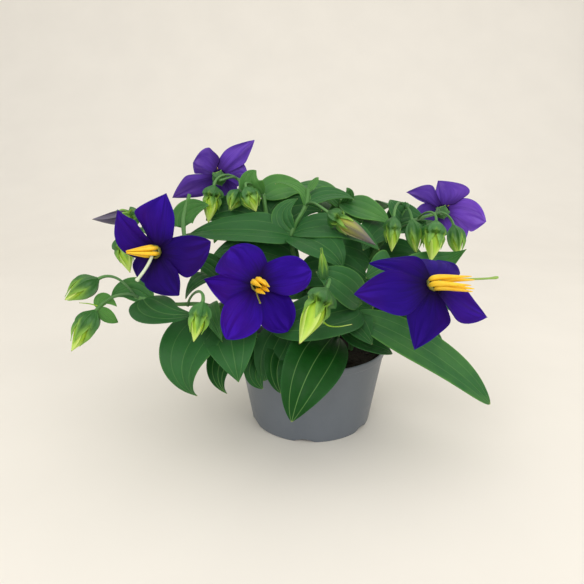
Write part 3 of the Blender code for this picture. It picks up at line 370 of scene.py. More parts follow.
BACK_LEFT = Shoot(
    "stem_back_left",
    stems=[
        Stem([(-16, 14, 57), (-22, 18, 80), (-28, 16, 115), (-31, 8, 142), (-34, 14, 160)]),
        Stem([(-33, 13, 158), (-43, 16, 167), (-52, 16, 170)], 1.1, 0.9),
    ],
    leaves=[
        Leaf((-34, 13, 157), (-20, 22, 163), (-3, 20, 161), 24, (0.0, -0.7, 0.7)),
        Leaf((-34, 13, 159), (-42, 10, 168), (-38, 11, 176), 17, (-0.1, -0.9, 0.4)),
        Leaf((-29, 14, 122), (-52, 34, 132), (-76, 52, 120), 32, (-0.2, 0.2, 1.0)),
        Leaf((-30, 10, 134), (-14, 18, 150), (8, 20, 148), 30, (0.0, -0.9, 0.45)),
        Leaf((-30, 10, 136), (-52, 12, 148), (-74, 10, 142), 28, (0.0, -0.9, 0.45)),
        Leaf((-28, 16, 116), (-20, 44, 126), (-14, 74, 114), 32, (0.0, 0.3, 1.0)),
        Leaf((-22, 18, 82), (-46, 40, 92), (-68, 62, 76), 30, (-0.3, 0.3, 0.9)),
        Leaf((-23, 18, 88), (-8, 46, 96), (-2, 74, 80), 30, (0.0, 0.4, 0.9)),
        Leaf((-31, 9, 143), (-40, 36, 146), (-46, 64, 134), 24, (-0.2, 0.2, 1.0)),
    ],
    blooms=[
        Bloom("flower_back_left", (-65, 20, 172), (-0.14, 0.95, 0.28), (-52, 16, 170),
              [Petal((-40, 25, 196), 17, 3.0, 0.0, 0, -0.5, 0.45),
               Petal((-84, 27, 181), 26, 4.0, -0.1, 0, 0.3, 0.3),
               Petal((-98, 17, 157), 20, 4.0, 0.0, 0, -0.3, 0.25),
               Petal((-64, 34, 145), 24, 3.0, 0.0, 0, 0.2),
               Petal((-46, 28, 173), 22, 4.0, 0.0, 0, 0.4)],
              (-7, 15, 4), (8, 12, -3)),
    ],
    buds=[
        Bud((-52, 16, 170), (-67, 8, 166), (-71, 2, 141), 12, 12),
        Bud((-52, 16, 170), (-50, 10, 163), (-56, 4, 150), 12, 10),
        Bud((-36, 14, 161), (-45, 4, 165), (-38, 0, 149), 11, 12),
    ],
)

BACK_RIGHT = Shoot(
    "stem_back_right",
    stems=[
        Stem([(20, 12, 57), (28, 16, 80), (42, 20, 110), (58, 20, 134), (66, 22, 148)]),
        Stem([(58, 20, 134), (76, 18, 142), (88, 16, 146)], BRANCH_RADIUS, 1.0),
    ],
    leaves=[
        Leaf((58, 20, 134), (46, 4, 136), (34, -8, 124), 28, (0.0, -0.6, 0.8)),
        Leaf((65, 22, 145), (60, 14, 149), (56, 20, 156), 17, (0.0, -0.8, 0.6)),
        Leaf((42, 20, 111), (64, 20, 118), (86, 16, 108), 26, (0.2, -0.5, 0.85)),
        Leaf((42, 20, 110), (50, 46, 120), (66, 72, 106), 32, (0.2, 0.3, 0.9)),
        Leaf((43, 20, 112), (22, 7, 124), (-2, 4, 122), 32, (0.0, -0.8, 0.6)),
        Leaf((58, 20, 133), (70, 30, 141), (88, 34, 135), 24, (0.0, -0.9, 0.45)),
        Leaf((59, 20, 135), (80, 40, 136), (104, 62, 118), 30, (0.3, 0.3, 0.9)),
        Leaf((29, 16, 82), (58, 28, 90), (88, 30, 72), 30, (0.3, 0.2, 0.9)),
        Leaf((66, 22, 147), (58, 42, 149), (54, 66, 140), 24, (0.0, 0.3, 0.95)),
    ],
    blooms=[
        Bloom("flower_back_right", (103, 50, 145), (0.36, 0.91, 0.20), (88, 16, 146),
              [Petal((100, 59, 167), 26, 3.0, -0.65, 0, -0.4, 0.4),
               Petal((76, 60, 158), 15, 3.0, -0.7, 0, -0.2, 0.4),
               Petal((85, 66, 131), 23, 3.0, 0.0, 0, 0.2),
               Petal((122, 49, 122), 24, 3.0, 0.0, 0, -0.2),
               Petal((134, 42, 137), 30, 3.0, -0.15, 0, 0.1, 0.75)],
              (12, 13, 3), (-2, 15, 6)),
    ],
    buds=[
        Bud((66, 22, 148), (53, -10, 147), (52, -14, 124), 13, 10),
        Bud((66, 22, 148), (69, 6, 143), (72, 0, 121), 14, 11, 1.5),
        Bud((76, 18, 142), (84, 0, 143), (80, -8, 116), 14, 14),
        Bud((88, 16, 146), (101, 16, 138), (104, 8, 117), 14, 11, 1.45),
    ],
)

RIGHT = Shoot(
    "stem_right",
    stems=[
        Stem([(28, -6, 57), (36, -10, 74), (46, -14, 96), (54, -18, 112)]),
    ],
    leaves=[
        Leaf((54, -18, 112), (45, -32, 117), (32, -37, 112), 24, (0.0, -0.8, 0.6)),
        Leaf((54, -18, 111), (86, -2, 113), (102, -10, 125), 22, (0.3, -0.8, 0.5), 14, 0.8, 1.2),
        Leaf((46, -14, 96), (74, -20, 98), (100, -36, 82), 28, (0.2, -0.4, 0.9)),
        Leaf((37, -10, 76), (66, -14, 76), (92, -22, 58), 28, (0.3, -0.3, 0.9)),
        Leaf((46, -14, 97), (58, 2, 100), (84, 14, 92), 26, (0.2, 0.2, 1.0)),
        Leaf((53, -18, 110), (62, -36, 110), (52, -56, 100), 24, (0.3, -0.4, 0.85)),
    ],
    blooms=[],
    buds=[],
)

BACK = Shoot(
    "stem_back",
    stems=[
        Stem([(2, 26, 57), (6, 32, 80), (12, 32, 115), (16, 28, 140), (22, 22, 155)]),
    ],
    leaves=[
        Leaf((22, 22, 153), (38, 10, 148), (53, 2, 142), 23, (0.0, -0.6, 0.8)),
        Leaf((20, 23, 150), (4, 44, 162), (-14, 50, 162), 20, (-0.1, -0.3, 0.95)),
        Leaf((16, 28, 140), (18, 56, 150), (24, 84, 138), 30, (0.0, 0.3, 1.0)),
        Leaf((15, 29, 134), (28, 24, 144), (42, 22, 140), 25, (0.0, -0.9, 0.4)),
        Leaf((12, 32, 116), (20, 60, 124), (20, 90, 108), 32, (0.1, 0.4, 0.9)),
        Leaf((7, 32, 84), (26, 60, 88), (40, 84, 68), 32, (0.1, 0.4, 0.9)),
        Leaf((6, 31, 76), (-14, 62, 76), (-30, 84, 58), 30, (-0.2, 0.4, 0.9)),
        Leaf((21, 23, 150), (32, 38, 153), (40, 56, 146), 22, (0.2, 0.3, 0.9)),
        Leaf((21, 23, 150), (12, 20, 159), (2, 16, 162), 12, (0.0, -0.8, 0.6)),
        Leaf((22, 22, 152), (26, 16, 159), (24, 14, 164), 8, (0.2, -0.9, 0.3)),
    ],
    blooms=[],
    buds=[],
)

SHOOTS = (LEFT, LOW_LEFT, FRONT, FRONT_RIGHT, CENTRE, BACK_LEFT, BACK_RIGHT, RIGHT, BACK)


def frame_for(direction: Vector, hint: Vector = UP) -> tuple[Vector, Vector]:
    """Finds two unit vectors square to a direction.

    Args:
        direction: the direction they are square to.
        hint: what the second one leans towards.

    Returns:
        The sideways vector and the one that leans towards the hint.
    """
    direction = direction.normalized()
    side = direction.cross(hint)
    if side.length < 0.05:
        side = direction.cross(Vector((1.0, 0.0, 0.0)))
    side.normalize()
    return side, side.cross(direction).normalized()


def smooth_path(points: Sequence[Point], steps: int) -> list[Vector]:
    """Runs a Catmull-Rom curve through points.

    Args:
        points: the points it passes through.
        steps: how many steps each span is cut into.

    Returns:
        The points of the curve, first and last ones included.
    """
    knots = [Vector(p) for p in points]
    knots = [knots[0] * 2 - knots[1]] + knots + [knots[-1] * 2 - knots[-2]]
    path = []
    for i in range(1, len(knots) - 2):
        a, b, c, d = knots[i - 1:i + 3]
        for k in range(steps):
            t = k / steps
            path.append(0.5 * (2 * b + (c - a) * t + (2 * a - 5 * b + 4 * c - d) * t * t
                               + (3 * b - a - 3 * c + d) * t ** 3))
    path.append(knots[-2])
    return path


def bezier_path(start: Vector, lean: Vector, arrive: Vector, end: Vector, steps: int) -> list[Vector]:
    """Runs a cubic curve from a start to an end.

    Args:
        start: where it starts.
        lean: the point it sets off towards.
        arrive: the point it arrives from.
        end: where it ends.
        steps: how many steps it is cut into.

    Returns:
        The points of the curve.
    """
    path = []
    for k in range(steps + 1):
        t = k / steps
        s = 1 - t
        path.append(start * s ** 3 + lean * 3 * s * s * t + arrive * 3 * s * t * t + end * t ** 3)
    return path


def carried_frames(path: Sequence[Vector], first: Vector | None = None) -> list[tuple[Vector, Vector]]:
    """Carries a cross-section along a path without twist.

    Args:
        path: the points of the path.
        first: the direction the path sets off in, if not that of its first step.

    Returns:
        For each point, two unit vectors square to the path.
    """
    previous = (first or path[1] - path[0]).normalized()
    side, normal = frame_for(previous)
    frames = []
    for i in range(len(path)):
        ahead = (path[min(i + 1, len(path) - 1)] - path[max(i - 1, 0)]).normalized()
        swing = previous.rotation_difference(ahead)
        side, normal, previous = swing @ side, swing @ normal, ahead
        frames.append((side.copy(), normal.copy()))
    return frames


def tube_rings(path: Sequence[Vector], radii: Sequence[float], sides: int, first: Vector | None = None,
               shape: Callable[[int, float, Vector], float] | None = None) -> np.ndarray:
    """Lays rings of points round a path.

    Args:
        path: its points.
        radii: the radius at each of them.
        sides: how many points a ring has.
        first: the direction the path sets off in, if not that of its first step.
        shape: what the radius is multiplied by, if not 1, from the ring's number, the angle
            round it and the way outwards there.

    Returns:
        The points, as ring, place round it, and coordinate.
    """
    rings = np.zeros((len(path), sides, 3))
    for i, ((side, normal), point) in enumerate(zip(carried_frames(path, first), path)):
        for k in range(sides):
            angle = math.tau * k / sides
            out = side * math.cos(angle) + normal * math.sin(angle)
            rings[i, k] = point + out * (radii[i] * (shape(i, angle, out) if shape else 1.0))
    return rings


def turned(section: Table, sides: int) -> np.ndarray:
    """Turns a section round the upright axis.

    Args:
        section: pairs of radius and height.
        sides: how many points a ring has.

    Returns:
        The points, as ring, place round it, and coordinate.
    """
    angles = math.tau * np.arange(sides) / sides
    rings = np.zeros((len(section), sides, 3))
    for ring, (radius, height) in zip(rings, section):
        ring[:, 0] = radius * np.cos(angles)
        ring[:, 1] = radius * np.sin(angles)
        ring[:, 2] = height
    return rings


def table_value(table: Table, t: float) -> float:
    """Reads a smooth curve through a table.

    Args:
        table: pairs of place and value, in order.
        t: the place.

    Returns:
        The value there. At each inner pair the curve runs along the line between the pairs on
        both sides of it.
    """
    if t > table[-1][0]:
        return table[-1][1]
    i = next(k for k in range(len(table) - 1) if t <= table[k + 1][0])
    (a, low), (b, high) = table[i], table[i + 1]
    leave = arrive = high - low
    if i > 0:
        before, value = table[i - 1]
        leave = (high - value) / (b - before) * (b - a)
    if i + 2 < len(table):
        after, value = table[i + 2]
        arrive = (value - low) / (after - a) * (b - a)
    s = max(0.0, (t - a) / (b - a))
    return ((2 * s ** 3 - 3 * s ** 2 + 1) * low + (s ** 3 - 2 * s ** 2 + s) * leave
            + (3 * s ** 2 - 2 * s ** 3) * high + (s ** 3 - s ** 2) * arrive)


class Pile:
    """Collects the faces of one visible piece, in millimetres, before it becomes an object.

    Each vertex carries its numbers for the two texture layers.
    """

    def __init__(self) -> None:
        """Starts empty."""
        self.verts: list[np.ndarray] = []
        self.blade: list[np.ndarray] = []
        self.look: list[np.ndarray] = []
        self.faces: list[tuple[int, ...]] = []
        self.paints: list[int] = []
        self.count = 0

    def add(self, verts: np.ndarray, faces: Sequence[Sequence[int]], blade: np.ndarray,
            look: np.ndarray, paints: Sequence[int]) -> None:
        """Adds one form.

        Args:
            verts: its points.
            faces: its faces, by the points' places in verts.
            blade: each point's share across and along.
            look: each point's tone and second number.
            paints: which of the piece's materials each face takes.
        """
        self.verts.append(np.asarray(verts, float))
        self.blade.append(np.asarray(blade, float))
        self.look.append(np.asarray(look, float))
        self.faces.extend(tuple(int(v) + self.count for v in face) for face in faces)
        self.paints.extend(paints)
        self.count += len(verts)

    def rings(self, rings: np.ndarray, tone: float = 0.5, paint: int = 0, capped: bool = True) -> None:
        """Adds a skin over rings of points.

        Args:
            rings: the points, as ring, place round it, and coordinate.
            tone: its tone.
            paint: which of the piece's materials it takes.
            capped: whether the first and last ring are closed over.
        """
        count, sides = rings.shape[:2]
        faces: list[tuple[int, ...]] = []
        for i in range(count - 1):
            for k in range(sides):
                n = (k + 1) % sides
                a, b = i * sides, (i + 1) * sides
                faces.append((a + k, a + n, b + n, b + k))
        if capped:
            faces.append(tuple(reversed(range(sides))))
            faces.append(tuple(range((count - 1) * sides, count * sides)))
        across = np.tile(np.arange(sides) / sides, count)
        along = np.repeat(np.arange(count) / (count - 1), sides)
        self.add(rings.reshape(-1, 3), faces, np.stack([across, along], 1),
                 np.tile((tone, 0.0), (count * sides, 1)), [paint] * len(faces))

    def sheet(self, points: np.ndarray, normals: np.ndarray, thickness: float, tone: float,
              halves: np.ndarray, under: int = 0) -> None:
        """Adds a thin closed sheet.

        Args:
            points: its middle surface, as row, column and coordinate.
            normals: the upward direction at each point.
            thickness: how thick it is.
            tone: its tone.
            halves: the half width of each row, which the look layer holds in half units.
            under: which of the piece's materials the lower side takes.
        """
        rows, columns = points.shape[:2]
        upper = points + normals * thickness / 2
        lower = points - normals * thickness / 2
        size = rows * columns
        grid = np.arange(size).reshape(rows, columns)
        top, bottom = [], []
        for i in range(rows - 1):
            for k in range(columns - 1):
                a, b, c, d = grid[i, k], grid[i, k + 1], grid[i + 1, k + 1], grid[i + 1, k]
                top.append((a, b, c, d))
                bottom.append((size + d, size + c, size + b, size + a))
        edge = list(grid[0]) + list(grid[1:, -1]) + list(grid[-1, -2::-1]) + list(grid[-2:0:-1, 0])
        rim = [(b, a, size + a, size + b) for a, b in zip(edge, edge[1:] + edge[:1])]
        u = np.tile(np.linspace(0, 1, columns), rows)
        v = np.repeat(np.linspace(0, 1, rows), columns)
        blade = np.tile(np.stack([u, v], 1), (2, 1))
        held = np.tile(np.repeat(np.asarray(halves) / HALF_UNIT, columns), 2)
        look = np.stack([np.full(2 * size, tone), held], 1)
        verts = np.concatenate([upper.reshape(-1, 3), lower.reshape(-1, 3)])
        paints = [0] * (len(top) + len(rim)) + [under] * len(bottom)
        self.add(verts, top + rim + bottom, blade, look, paints)

    def piece(self, name: str, materials: Sequence[Material],
              nodes: Sequence[str], sharp: float = 50.0) -> bpy.types.Object:
        """Turns the pile into a visible piece that rides on the part.

        Args:
            name: the piece's name.
            materials: its materials, in the order of the paints.
            nodes: the CAD nodes it stands for.
            sharp: the angle in degrees over which an edge stays sharp.

        Returns:
            The object.
        """
        mesh = bpy.data.meshes.new(name)
        mesh.from_pydata((np.concatenate(self.verts) * MM).tolist(), [], self.faces)
        spots = np.zeros(len(mesh.loops), np.int32)
        mesh.loops.foreach_get("vertex_index", spots)
        for layer, values in ((Layer.BLADE, self.blade), (Layer.LOOK, self.look)):
            mesh.uv_layers.new(name=layer.value).data.foreach_set(
                "uv", np.concatenate(values)[spots].astype(np.float32).ravel())
        for material in materials:
            mesh.materials.append(material)
        mesh.polygons.foreach_set("material_index", np.array(self.paints, np.int32))
        mesh.shade_smooth()
        mesh.set_sharp_from_angle(angle=math.radians(sharp))
        mesh.validate()
        obj = bpy.data.objects.new(name, mesh)
        bpy.context.scene.collection.objects.link(obj)
        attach(obj, "root")
        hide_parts(*nodes)
        log.info("%s: %d faces for %s", name, len(self.faces), ", ".join(nodes))
        return obj


class Graph:
    """A material's node tree, with short ways to add and join nodes."""

    def __init__(self, name: str) -> None:
        """Makes the material with its Principled shader.

        Args:
            name: the material's name.
        """
        self.material = bpy.data.materials.new(name)
        self.material.use_nodes = True
        self.tree = self.material.node_tree
        self.shader = self.tree.nodes["Principled BSDF"]

    def set(self, **values: float | Colour) -> None:
        """Sets sockets of the shader; an underscore stands for a space.

        Args:
            values: the socket names, in title case, and their values.
        """
        for name, value in values.items():
            socket = self.shader.inputs[name.replace("_", " ")]
            if isinstance(value, tuple) and len(value) == 3 and socket.type == "RGBA":
                value = (*value, 1.0)
            socket.default_value = value

    def join(self, source: Socket, name: str) -> None:
        """Joins a socket to one of the shader's inputs."""
        self.tree.links.new(source, self.shader.inputs[name])

    def node(self, kind: str, feeds: dict[str | int, Feed | Shade], **settings: str) -> bpy.types.Node:
        """Adds a node.

        Args:
            kind: its type, without the words ShaderNode.
            feeds: what each of its inputs holds, or the socket that it is joined to.
            settings: its settings.

        Returns:
            The node.
        """
        node = self.tree.nodes.new("ShaderNode" + kind)
        for name, setting in settings.items():
            setattr(node, name, setting)
        for key, feed in feeds.items():
            if isinstance(feed, Socket):
                self.tree.links.new(feed, node.inputs[key])
            else:
                node.inputs[key].default_value = feed
        return node

    def layer(self, layer: Layer) -> Socket:
        """Gives a texture layer as a vector."""
        return self.node("UVMap", {}, uv_map=layer.value).outputs[0]

    def numbers(self, layer: Layer) -> tuple[Socket, Socket]:
        """Gives the first and second number of a texture layer."""
        split = self.node("SeparateXYZ", {0: self.layer(layer)})
        return split.outputs[0], split.outputs[1]

    def spot(self) -> Socket:
        """Gives the place on the object itself, in metres."""
        return self.node("TexCoord", {}).outputs["Object"]

    def scaled(self, vector: Socket, scale: Point) -> Socket:
        """Stretches a vector along each axis."""
        return self.node("Mapping", {"Vector": vector, "Scale": scale}).outputs[0]

    def noise(self, vector: Socket, scale: float, detail: float = 3.0, distortion: float = 0.0) -> Socket:
        """Gives a noise; scale is its fineness, and detail how many finer layers it has."""
        return self.node("TexNoise", {"Vector": vector, "Scale": scale, "Detail": detail,
                                      "Distortion": distortion}).outputs["Fac"]

    def cells(self, vector: Socket, scale: float) -> Socket:
        """Gives the distance in a cell texture."""
        return self.node("TexVoronoi", {"Vector": vector, "Scale": scale}).outputs["Distance"]

    def maths(self, kind: Maths, first: Feed, second: Feed = 0.0) -> Socket:
        """Works out one number from two."""
        return self.node("Math", {0: first, 1: second}, operation=kind.value).outputs[0]

    def times(self, first: Feed, second: Feed) -> Socket:
        """Multiplies two numbers."""
        return self.maths(Maths.MULTIPLY, first, second)

    def weighed(self, first: Feed, weight: float, second: Feed, other: float) -> Socket:
        """Adds two numbers, each times its weight."""
        return self.maths(Maths.ADD, self.times(first, weight), self.times(second, other))

    def apart(self, first: Feed, second: Feed) -> Socket:
        """Gives how far two numbers lie apart."""
        return self.maths(Maths.ABSOLUTE, self.maths(Maths.SUBTRACT, first, second))

    def range(self, value: Socket, low: float, high: float,
              start: float = 0.0, end: float = 1.0, smooth: bool = True) -> Socket:
        """Maps a value from one range to another.

        Args:
            value: the value.
            low: what becomes start.
            high: what becomes end.
            start: the result at low.
            end: the result at high.
            smooth: whether the ends are eased.

        Returns:
            The mapped value, held between its ends.
        """
        feeds = {"Value": value, "From Min": low, "From Max": high, "To Min": start, "To Max": end}
        kind = "SMOOTHSTEP" if smooth else "LINEAR"
        return self.node("MapRange", feeds, interpolation_type=kind).outputs[0]

    def ramp(self, value: Socket, stops: Sequence[tuple[float, Colour]]) -> Socket:
        """Turns a value into a colour.

        Args:
            value: the value.
            stops: places from 0 to 1 with their colours, in order.

        Returns:
            The colour.
        """
        node = self.node("ValToRGB", {0: value})
        elements = node.color_ramp.elements
        while len(elements) < len(stops):
            elements.new(0.5)
        for element, (place, colour) in zip(elements, stops):
            element.position = place
            element.color = (*colour, 1.0)
        return node.outputs[0]

    def mix(self, factor: Feed, first: Shade, second: Shade, kind: Mixing = Mixing.MIX) -> Socket:
        """Mixes two colours; the factor is the share of the second one."""
        feeds = {i: (*shade, 1.0) if isinstance(shade, tuple) else shade
                 for i, shade in ((6, first), (7, second))}
        return self.node("Mix", {0: factor, **feeds}, data_type="RGBA",
                         blend_type=kind.value).outputs[2]

    def shaded(self, colour: Socket, tone: Socket, dark: float, bright: float) -> Socket:
        """Makes a colour darker or brighter by the tone; on the petals, painted light and shade.

        Args:
            colour: the colour.
            tone: the tone, from 0 to 1.
            dark: the brightness at tone 0.
            bright: the brightness at tone 1.

        Returns:
            The colour at that brightness.
        """
        level = self.range(tone, 0.0, 1.0, dark, bright, smooth=False)
        grey = self.node("CombineXYZ", {0: level, 1: level, 2: level}).outputs[0]
        return self.mix(1.0, colour, grey, Mixing.MULTIPLY)

    def bump(self, height: Socket, distance: float, strength: float = 1.0) -> None:
        """Gives the shader a bumped normal; distance is how high a height of 1 is, in metres."""
        node = self.node("Bump", {"Height": height, "Distance": distance, "Strength": strength})
        self.join(node.outputs[0], "Normal")


@dataclass(frozen=True)
class LeafFinish:
    """Semi-gloss leaf: deep, fresh or young green between pale parallel veins, with painted light: a
    paler margin and a tone that sets it lit or shaded.
    """

    name: str = "leaf_upper"
    deep: Colour = (0.004, 0.047, 0.004)
    fresh: Colour = (0.030, 0.116, 0.032)
    young: Colour = (0.095, 0.25, 0.05)
    vein: Colour = (0.15, 0.30, 0.09)
    tip: Colour = (0.40, 0.42, 0.16)
    roughness: float = 0.42
    vein_width: float = 0.36
    cloud_scale: float = 60.0
    net_scale: float = 620.0
    grain_scale: float = 1500.0

    def material(self) -> Material:
        """Builds the material."""
        graph = Graph(self.name)
        across, along = graph.numbers(Layer.BLADE)
        tone, half = graph.numbers(Layer.LOOK)
        share = graph.apart(graph.times(across, 2.0), 1.0)
        nearest = graph.apart(share, VEIN_PLACES[0])
        for place in VEIN_PLACES[1:]:
            nearest = graph.maths(Maths.MINIMUM, nearest, graph.apart(share, place))
        reach = graph.times(graph.times(nearest, half), HALF_UNIT)
        line = graph.range(reach, 0.1, self.vein_width, 1.0, 0.0)
        line = graph.times(line, graph.range(share, 0.0, 0.2, 1.0, 0.75))
        spot = graph.spot()
        cloud = graph.noise(spot, self.cloud_scale, 4.0, 0.4)
        # Painted light: the tone sets the leaf lit or shaded, and the margin is made paler as light
        # through its thin edge.
        youth_and_painted_light = graph.maths(Maths.ADD, graph.weighed(tone, 0.75, cloud, 0.35),
                          graph.range(share, 0.9, 1.0, 0.0, 0.2))
        body = graph.ramp(youth_and_painted_light, ((0.1, self.deep), (0.72, self.fresh), (1.0, self.young)))
        colour = graph.mix(graph.times(line, graph.range(tone, 0.0, 0.6, 0.62, 0.3)), body, self.vein)
        colour = graph.mix(graph.range(along, 0.965, 1.0, 0.0, 0.7), colour, self.tip)
        graph.join(colour, "Base Color")
        graph.join(graph.range(cloud, 0.3, 0.7, self.roughness - 0.06, self.roughness + 0.08),
                   "Roughness")
        graph.bump(graph.weighed(graph.cells(spot, self.net_scale), 0.6,
                                 graph.noise(spot, self.grain_scale, 2.0), 0.4), 0.00012, 0.6)
        graph.set(Specular_IOR_Level=0.12, Subsurface_Weight=0.12, Subsurface_Scale=0.002,
                  Subsurface_Radius=(0.35, 1.0, 0.2))
        return graph.material


@dataclass(frozen=True)
class PetalFinish:
    """Velvety violet petal with fine darker lines that fan out from its throat, and painted shade that
    darkens it towards the throat.
    """

    name: str = "petal_violet"
    # The throat colour is painted shade, deep in the throat round the anthers.
    throat: Colour = (0.007, 0.001, 0.032)
    body: Colour = (0.016, 0.001, 0.175)
    light: Colour = (0.038, 0.006, 0.33)
    plum: Colour = (0.036, 0.003, 0.11)
    roughness: float = 0.6
    lines: Point = (30.0, 1.6, 1.0)
    clouds: Point = (4.0, 1.5, 1.0)
    plum_scale: float = 28.0
    grain_scale: float = 2600.0

    def material(self) -> Material:
        """Builds the material."""
        graph = Graph(self.name)
        along = graph.numbers(Layer.BLADE)[1]
        tone = graph.numbers(Layer.LOOK)[0]
        blade, spot = graph.layer(Layer.BLADE), graph.spot()
        cloud = graph.noise(graph.scaled(blade, self.clouds), 1.3, 3.0, 0.5)
        fan = graph.noise(graph.scaled(blade, self.lines), 1.0, 3.0, 0.15)
        # Painted shade: from the middle of the petal its colour darkens to the throat colour; the fan
        # lines darken it in fine streaks.
        depth = graph.times(graph.range(along, 0.0, 0.5), graph.range(fan, 0.3, 0.7, 0.55, 1.0))
        body = graph.ramp(depth, ((0.0, self.throat), (0.7, self.body), (1.0, self.body)))
        warm = graph.range(graph.noise(spot, self.plum_scale, 2.0), 0.42, 0.68, 0.0, 0.55)
        body = graph.mix(graph.times(warm, depth), body, self.plum)
        glow = graph.times(graph.times(graph.range(cloud, 0.38, 0.62), 0.6),
                           graph.range(along, 0.2, 0.9))
        # Painted light and shade: each petal is darkened or brightened by its tone.
        graph.join(graph.shaded(graph.mix(glow, body, self.light), tone, 0.5, 1.5), "Base Color")
        grain = graph.noise(spot, self.grain_scale, 2.0)
        graph.bump(graph.weighed(fan, 0.7, grain, 0.3), 0.00022, 0.6)
        graph.set(Roughness=self.roughness, Specular_IOR_Level=0.06, Sheen_Weight=0.05,
                  Sheen_Roughness=0.45, Sheen_Tint=(0.45, 0.3, 1.0), Subsurface_Weight=0.08,
                  Subsurface_Scale=0.0015, Subsurface_Radius=(0.4, 0.2, 1.0))
        return graph.material


@dataclass(frozen=True)
class GrownFinish:
    """A plain grown part, such as a stem, calyx, anther or style.

    Its colour runs from one to another along its length, with soft blotches and fine ribs. Turn
    is the stretch of the length in which it changes.
    """

    name: str
    start: Colour
    end: Colour
    blotch: Colour
    blotch_share: float = 0.3
    turn: tuple[float, float] = (0.0, 1.0)
    ribs: float = 12.0
    roughness: float = 0.45
    glow: float = 0.12
    cloud_scale: float = 160.0
    grain_scale: float = 1800.0

    def material(self) -> Material:
        """Builds the material."""
        graph = Graph(self.name)
        along = graph.numbers(Layer.BLADE)[1]
        tone = graph.numbers(Layer.LOOK)[0]
        spot = graph.spot()
        cloud = graph.noise(spot, self.cloud_scale, 3.0, 0.3)
        body = graph.mix(graph.range(along, *self.turn), self.start, self.end)
        body = graph.mix(graph.times(graph.range(cloud, 0.4, 0.7), self.blotch_share), body, self.blotch)
        graph.join(graph.shaded(body, tone, 0.65, 1.2), "Base Color")
        rib = graph.noise(graph.scaled(graph.layer(Layer.BLADE), (self.ribs, 1.0, 1.0)), 2.0, 2.0)
        grain = graph.noise(spot, self.grain_scale, 2.0)
        graph.bump(graph.weighed(rib, 0.6, grain, 0.4), 0.0002, 0.5)
        graph.set(Roughness=self.roughness, Specular_IOR_Level=0.4, Subsurface_Weight=self.glow,
                  Subsurface_Scale=0.002, Subsurface_Radius=(0.6, 1.0, 0.25))
        return graph.material


@dataclass(frozen=True)
class BudFinish:
    """A furled corolla: each petal's free margin pale, the crease under it darker with painted shade, a
    brown point.

    It fades to the pale colour from a share of its length on, by a share.
    """

    name: str
    body: Colour
    pale: Colour
    crease_shade: Colour
    point: Colour = (0.16, 0.10, 0.04)
    fade_from: float = 0.55
    fade_share: float = 0.6
    streaks: Point = (40.0, 2.0, 1.0)
    grain_scale: float = 1800.0

    def material(self) -> Material:
        """Builds the material."""
        graph = Graph(self.name)
        along = graph.numbers(Layer.BLADE)[1]
        phase = graph.numbers(Layer.LOOK)[1]
        # Painted shade: darker in the crease under each petal's overlapping margin.
        crease_shade = graph.times(graph.range(phase, 0.0, 0.4, 1.0, 0.0), 0.6)
        margin = graph.times(graph.range(phase, 0.45, 0.95), 0.6)
        fade = graph.times(graph.range(along, self.fade_from, 1.0), self.fade_share)
        colour = graph.mix(crease_shade, self.body, self.crease_shade)
        colour = graph.mix(margin, colour, self.pale)
        colour = graph.mix(fade, colour, self.pale)
        colour = graph.mix(graph.range(along, 0.96, 1.0), colour, self.point)
        graph.join(colour, "Base Color")
        streak = graph.noise(graph.scaled(graph.layer(Layer.BLADE), self.streaks), 1.0, 2.0)
        grain = graph.noise(graph.spot(), self.grain_scale, 2.0)
        graph.bump(graph.weighed(streak, 0.7, grain, 0.3), 0.0002, 0.5)
        graph.set(Roughness=0.45, Specular_IOR_Level=0.25, Subsurface_Weight=0.2,
                  Subsurface_Scale=0.002, Subsurface_Radius=(0.7, 1.0, 0.25))
        return graph.material


@dataclass(frozen=True)
class PotFinish:
    """Satin grey moulded plastic with faint flow streaks and dust."""

    name: str = "pot_plastic_grey"
    body: Colour = (0.110, 0.128, 0.152)
    pale: Colour = (0.132, 0.150, 0.174)
    roughness: float = 0.36
    streak_scale: float = 55.0
    dust_scale: float = 210.0
    grain_scale: float = 1900.0

    def material(self) -> Material:
        """Builds the material."""
        graph = Graph(self.name)
        spot = graph.spot()
        streak = graph.noise(graph.scaled(spot, (1.0, 1.0, 0.15)), self.streak_scale, 4.0, 0.2)
        mixed = graph.weighed(streak, 0.6, graph.noise(spot, self.dust_scale, 5.0), 0.4)
        graph.join(graph.ramp(mixed, ((0.3, self.body), (0.75, self.pale))), "Base Color")
        graph.join(graph.range(mixed, 0.3, 0.7, self.roughness - 0.06, self.roughness + 0.1), "Roughness")
        grain = graph.noise(spot, self.grain_scale, 3.0)
        graph.bump(graph.weighed(grain, 0.5, streak, 0.5), 0.00012, 0.5)
        graph.set(Specular_IOR_Level=0.5)
        return graph.material


@dataclass(frozen=True)
class SoilFinish:
    """Dark crumbly growing medium with lighter fibres, its colours darkened further as painted shade of
    the leaves over it.
    """

    name: str = "soil_dark"
    dark: Colour = (0.008, 0.006, 0.005)
    light: Colour = (0.032, 0.022, 0.015)
    crumb_scale: float = 420.0

    def material(self) -> Material:
        """Builds the material."""
        graph = Graph(self.name)
        crumb = graph.noise(graph.spot(), self.crumb_scale, 6.0, 0.6)
        graph.join(graph.ramp(crumb, ((0.35, self.dark), (0.75, self.light))), "Base Color")
        graph.bump(crumb, 0.0012, 1.0)
        graph.set(Roughness=0.95, Specular_IOR_Level=0.2)
        return graph.material


@dataclass(frozen=True)
class FloorFinish:
    """Pale warm floor with hardly any texture."""

    name: str = "floor_cream"
    colour: Colour = (0.80, 0.765, 0.70)
    dimmer: float = 0.97
    cloud_scale: float = 9.0

    def material(self) -> Material:
        """Builds the material."""
        graph = Graph(self.name)
        cloud = graph.noise(graph.spot(), self.cloud_scale, 3.0)
        dim = tuple(channel * self.dimmer for channel in self.colour)
        graph.join(graph.ramp(cloud, ((0.3, dim), (0.7, self.colour))), "Base Color")
        graph.set(Roughness=0.6, Specular_IOR_Level=0.25)
        return graph.material


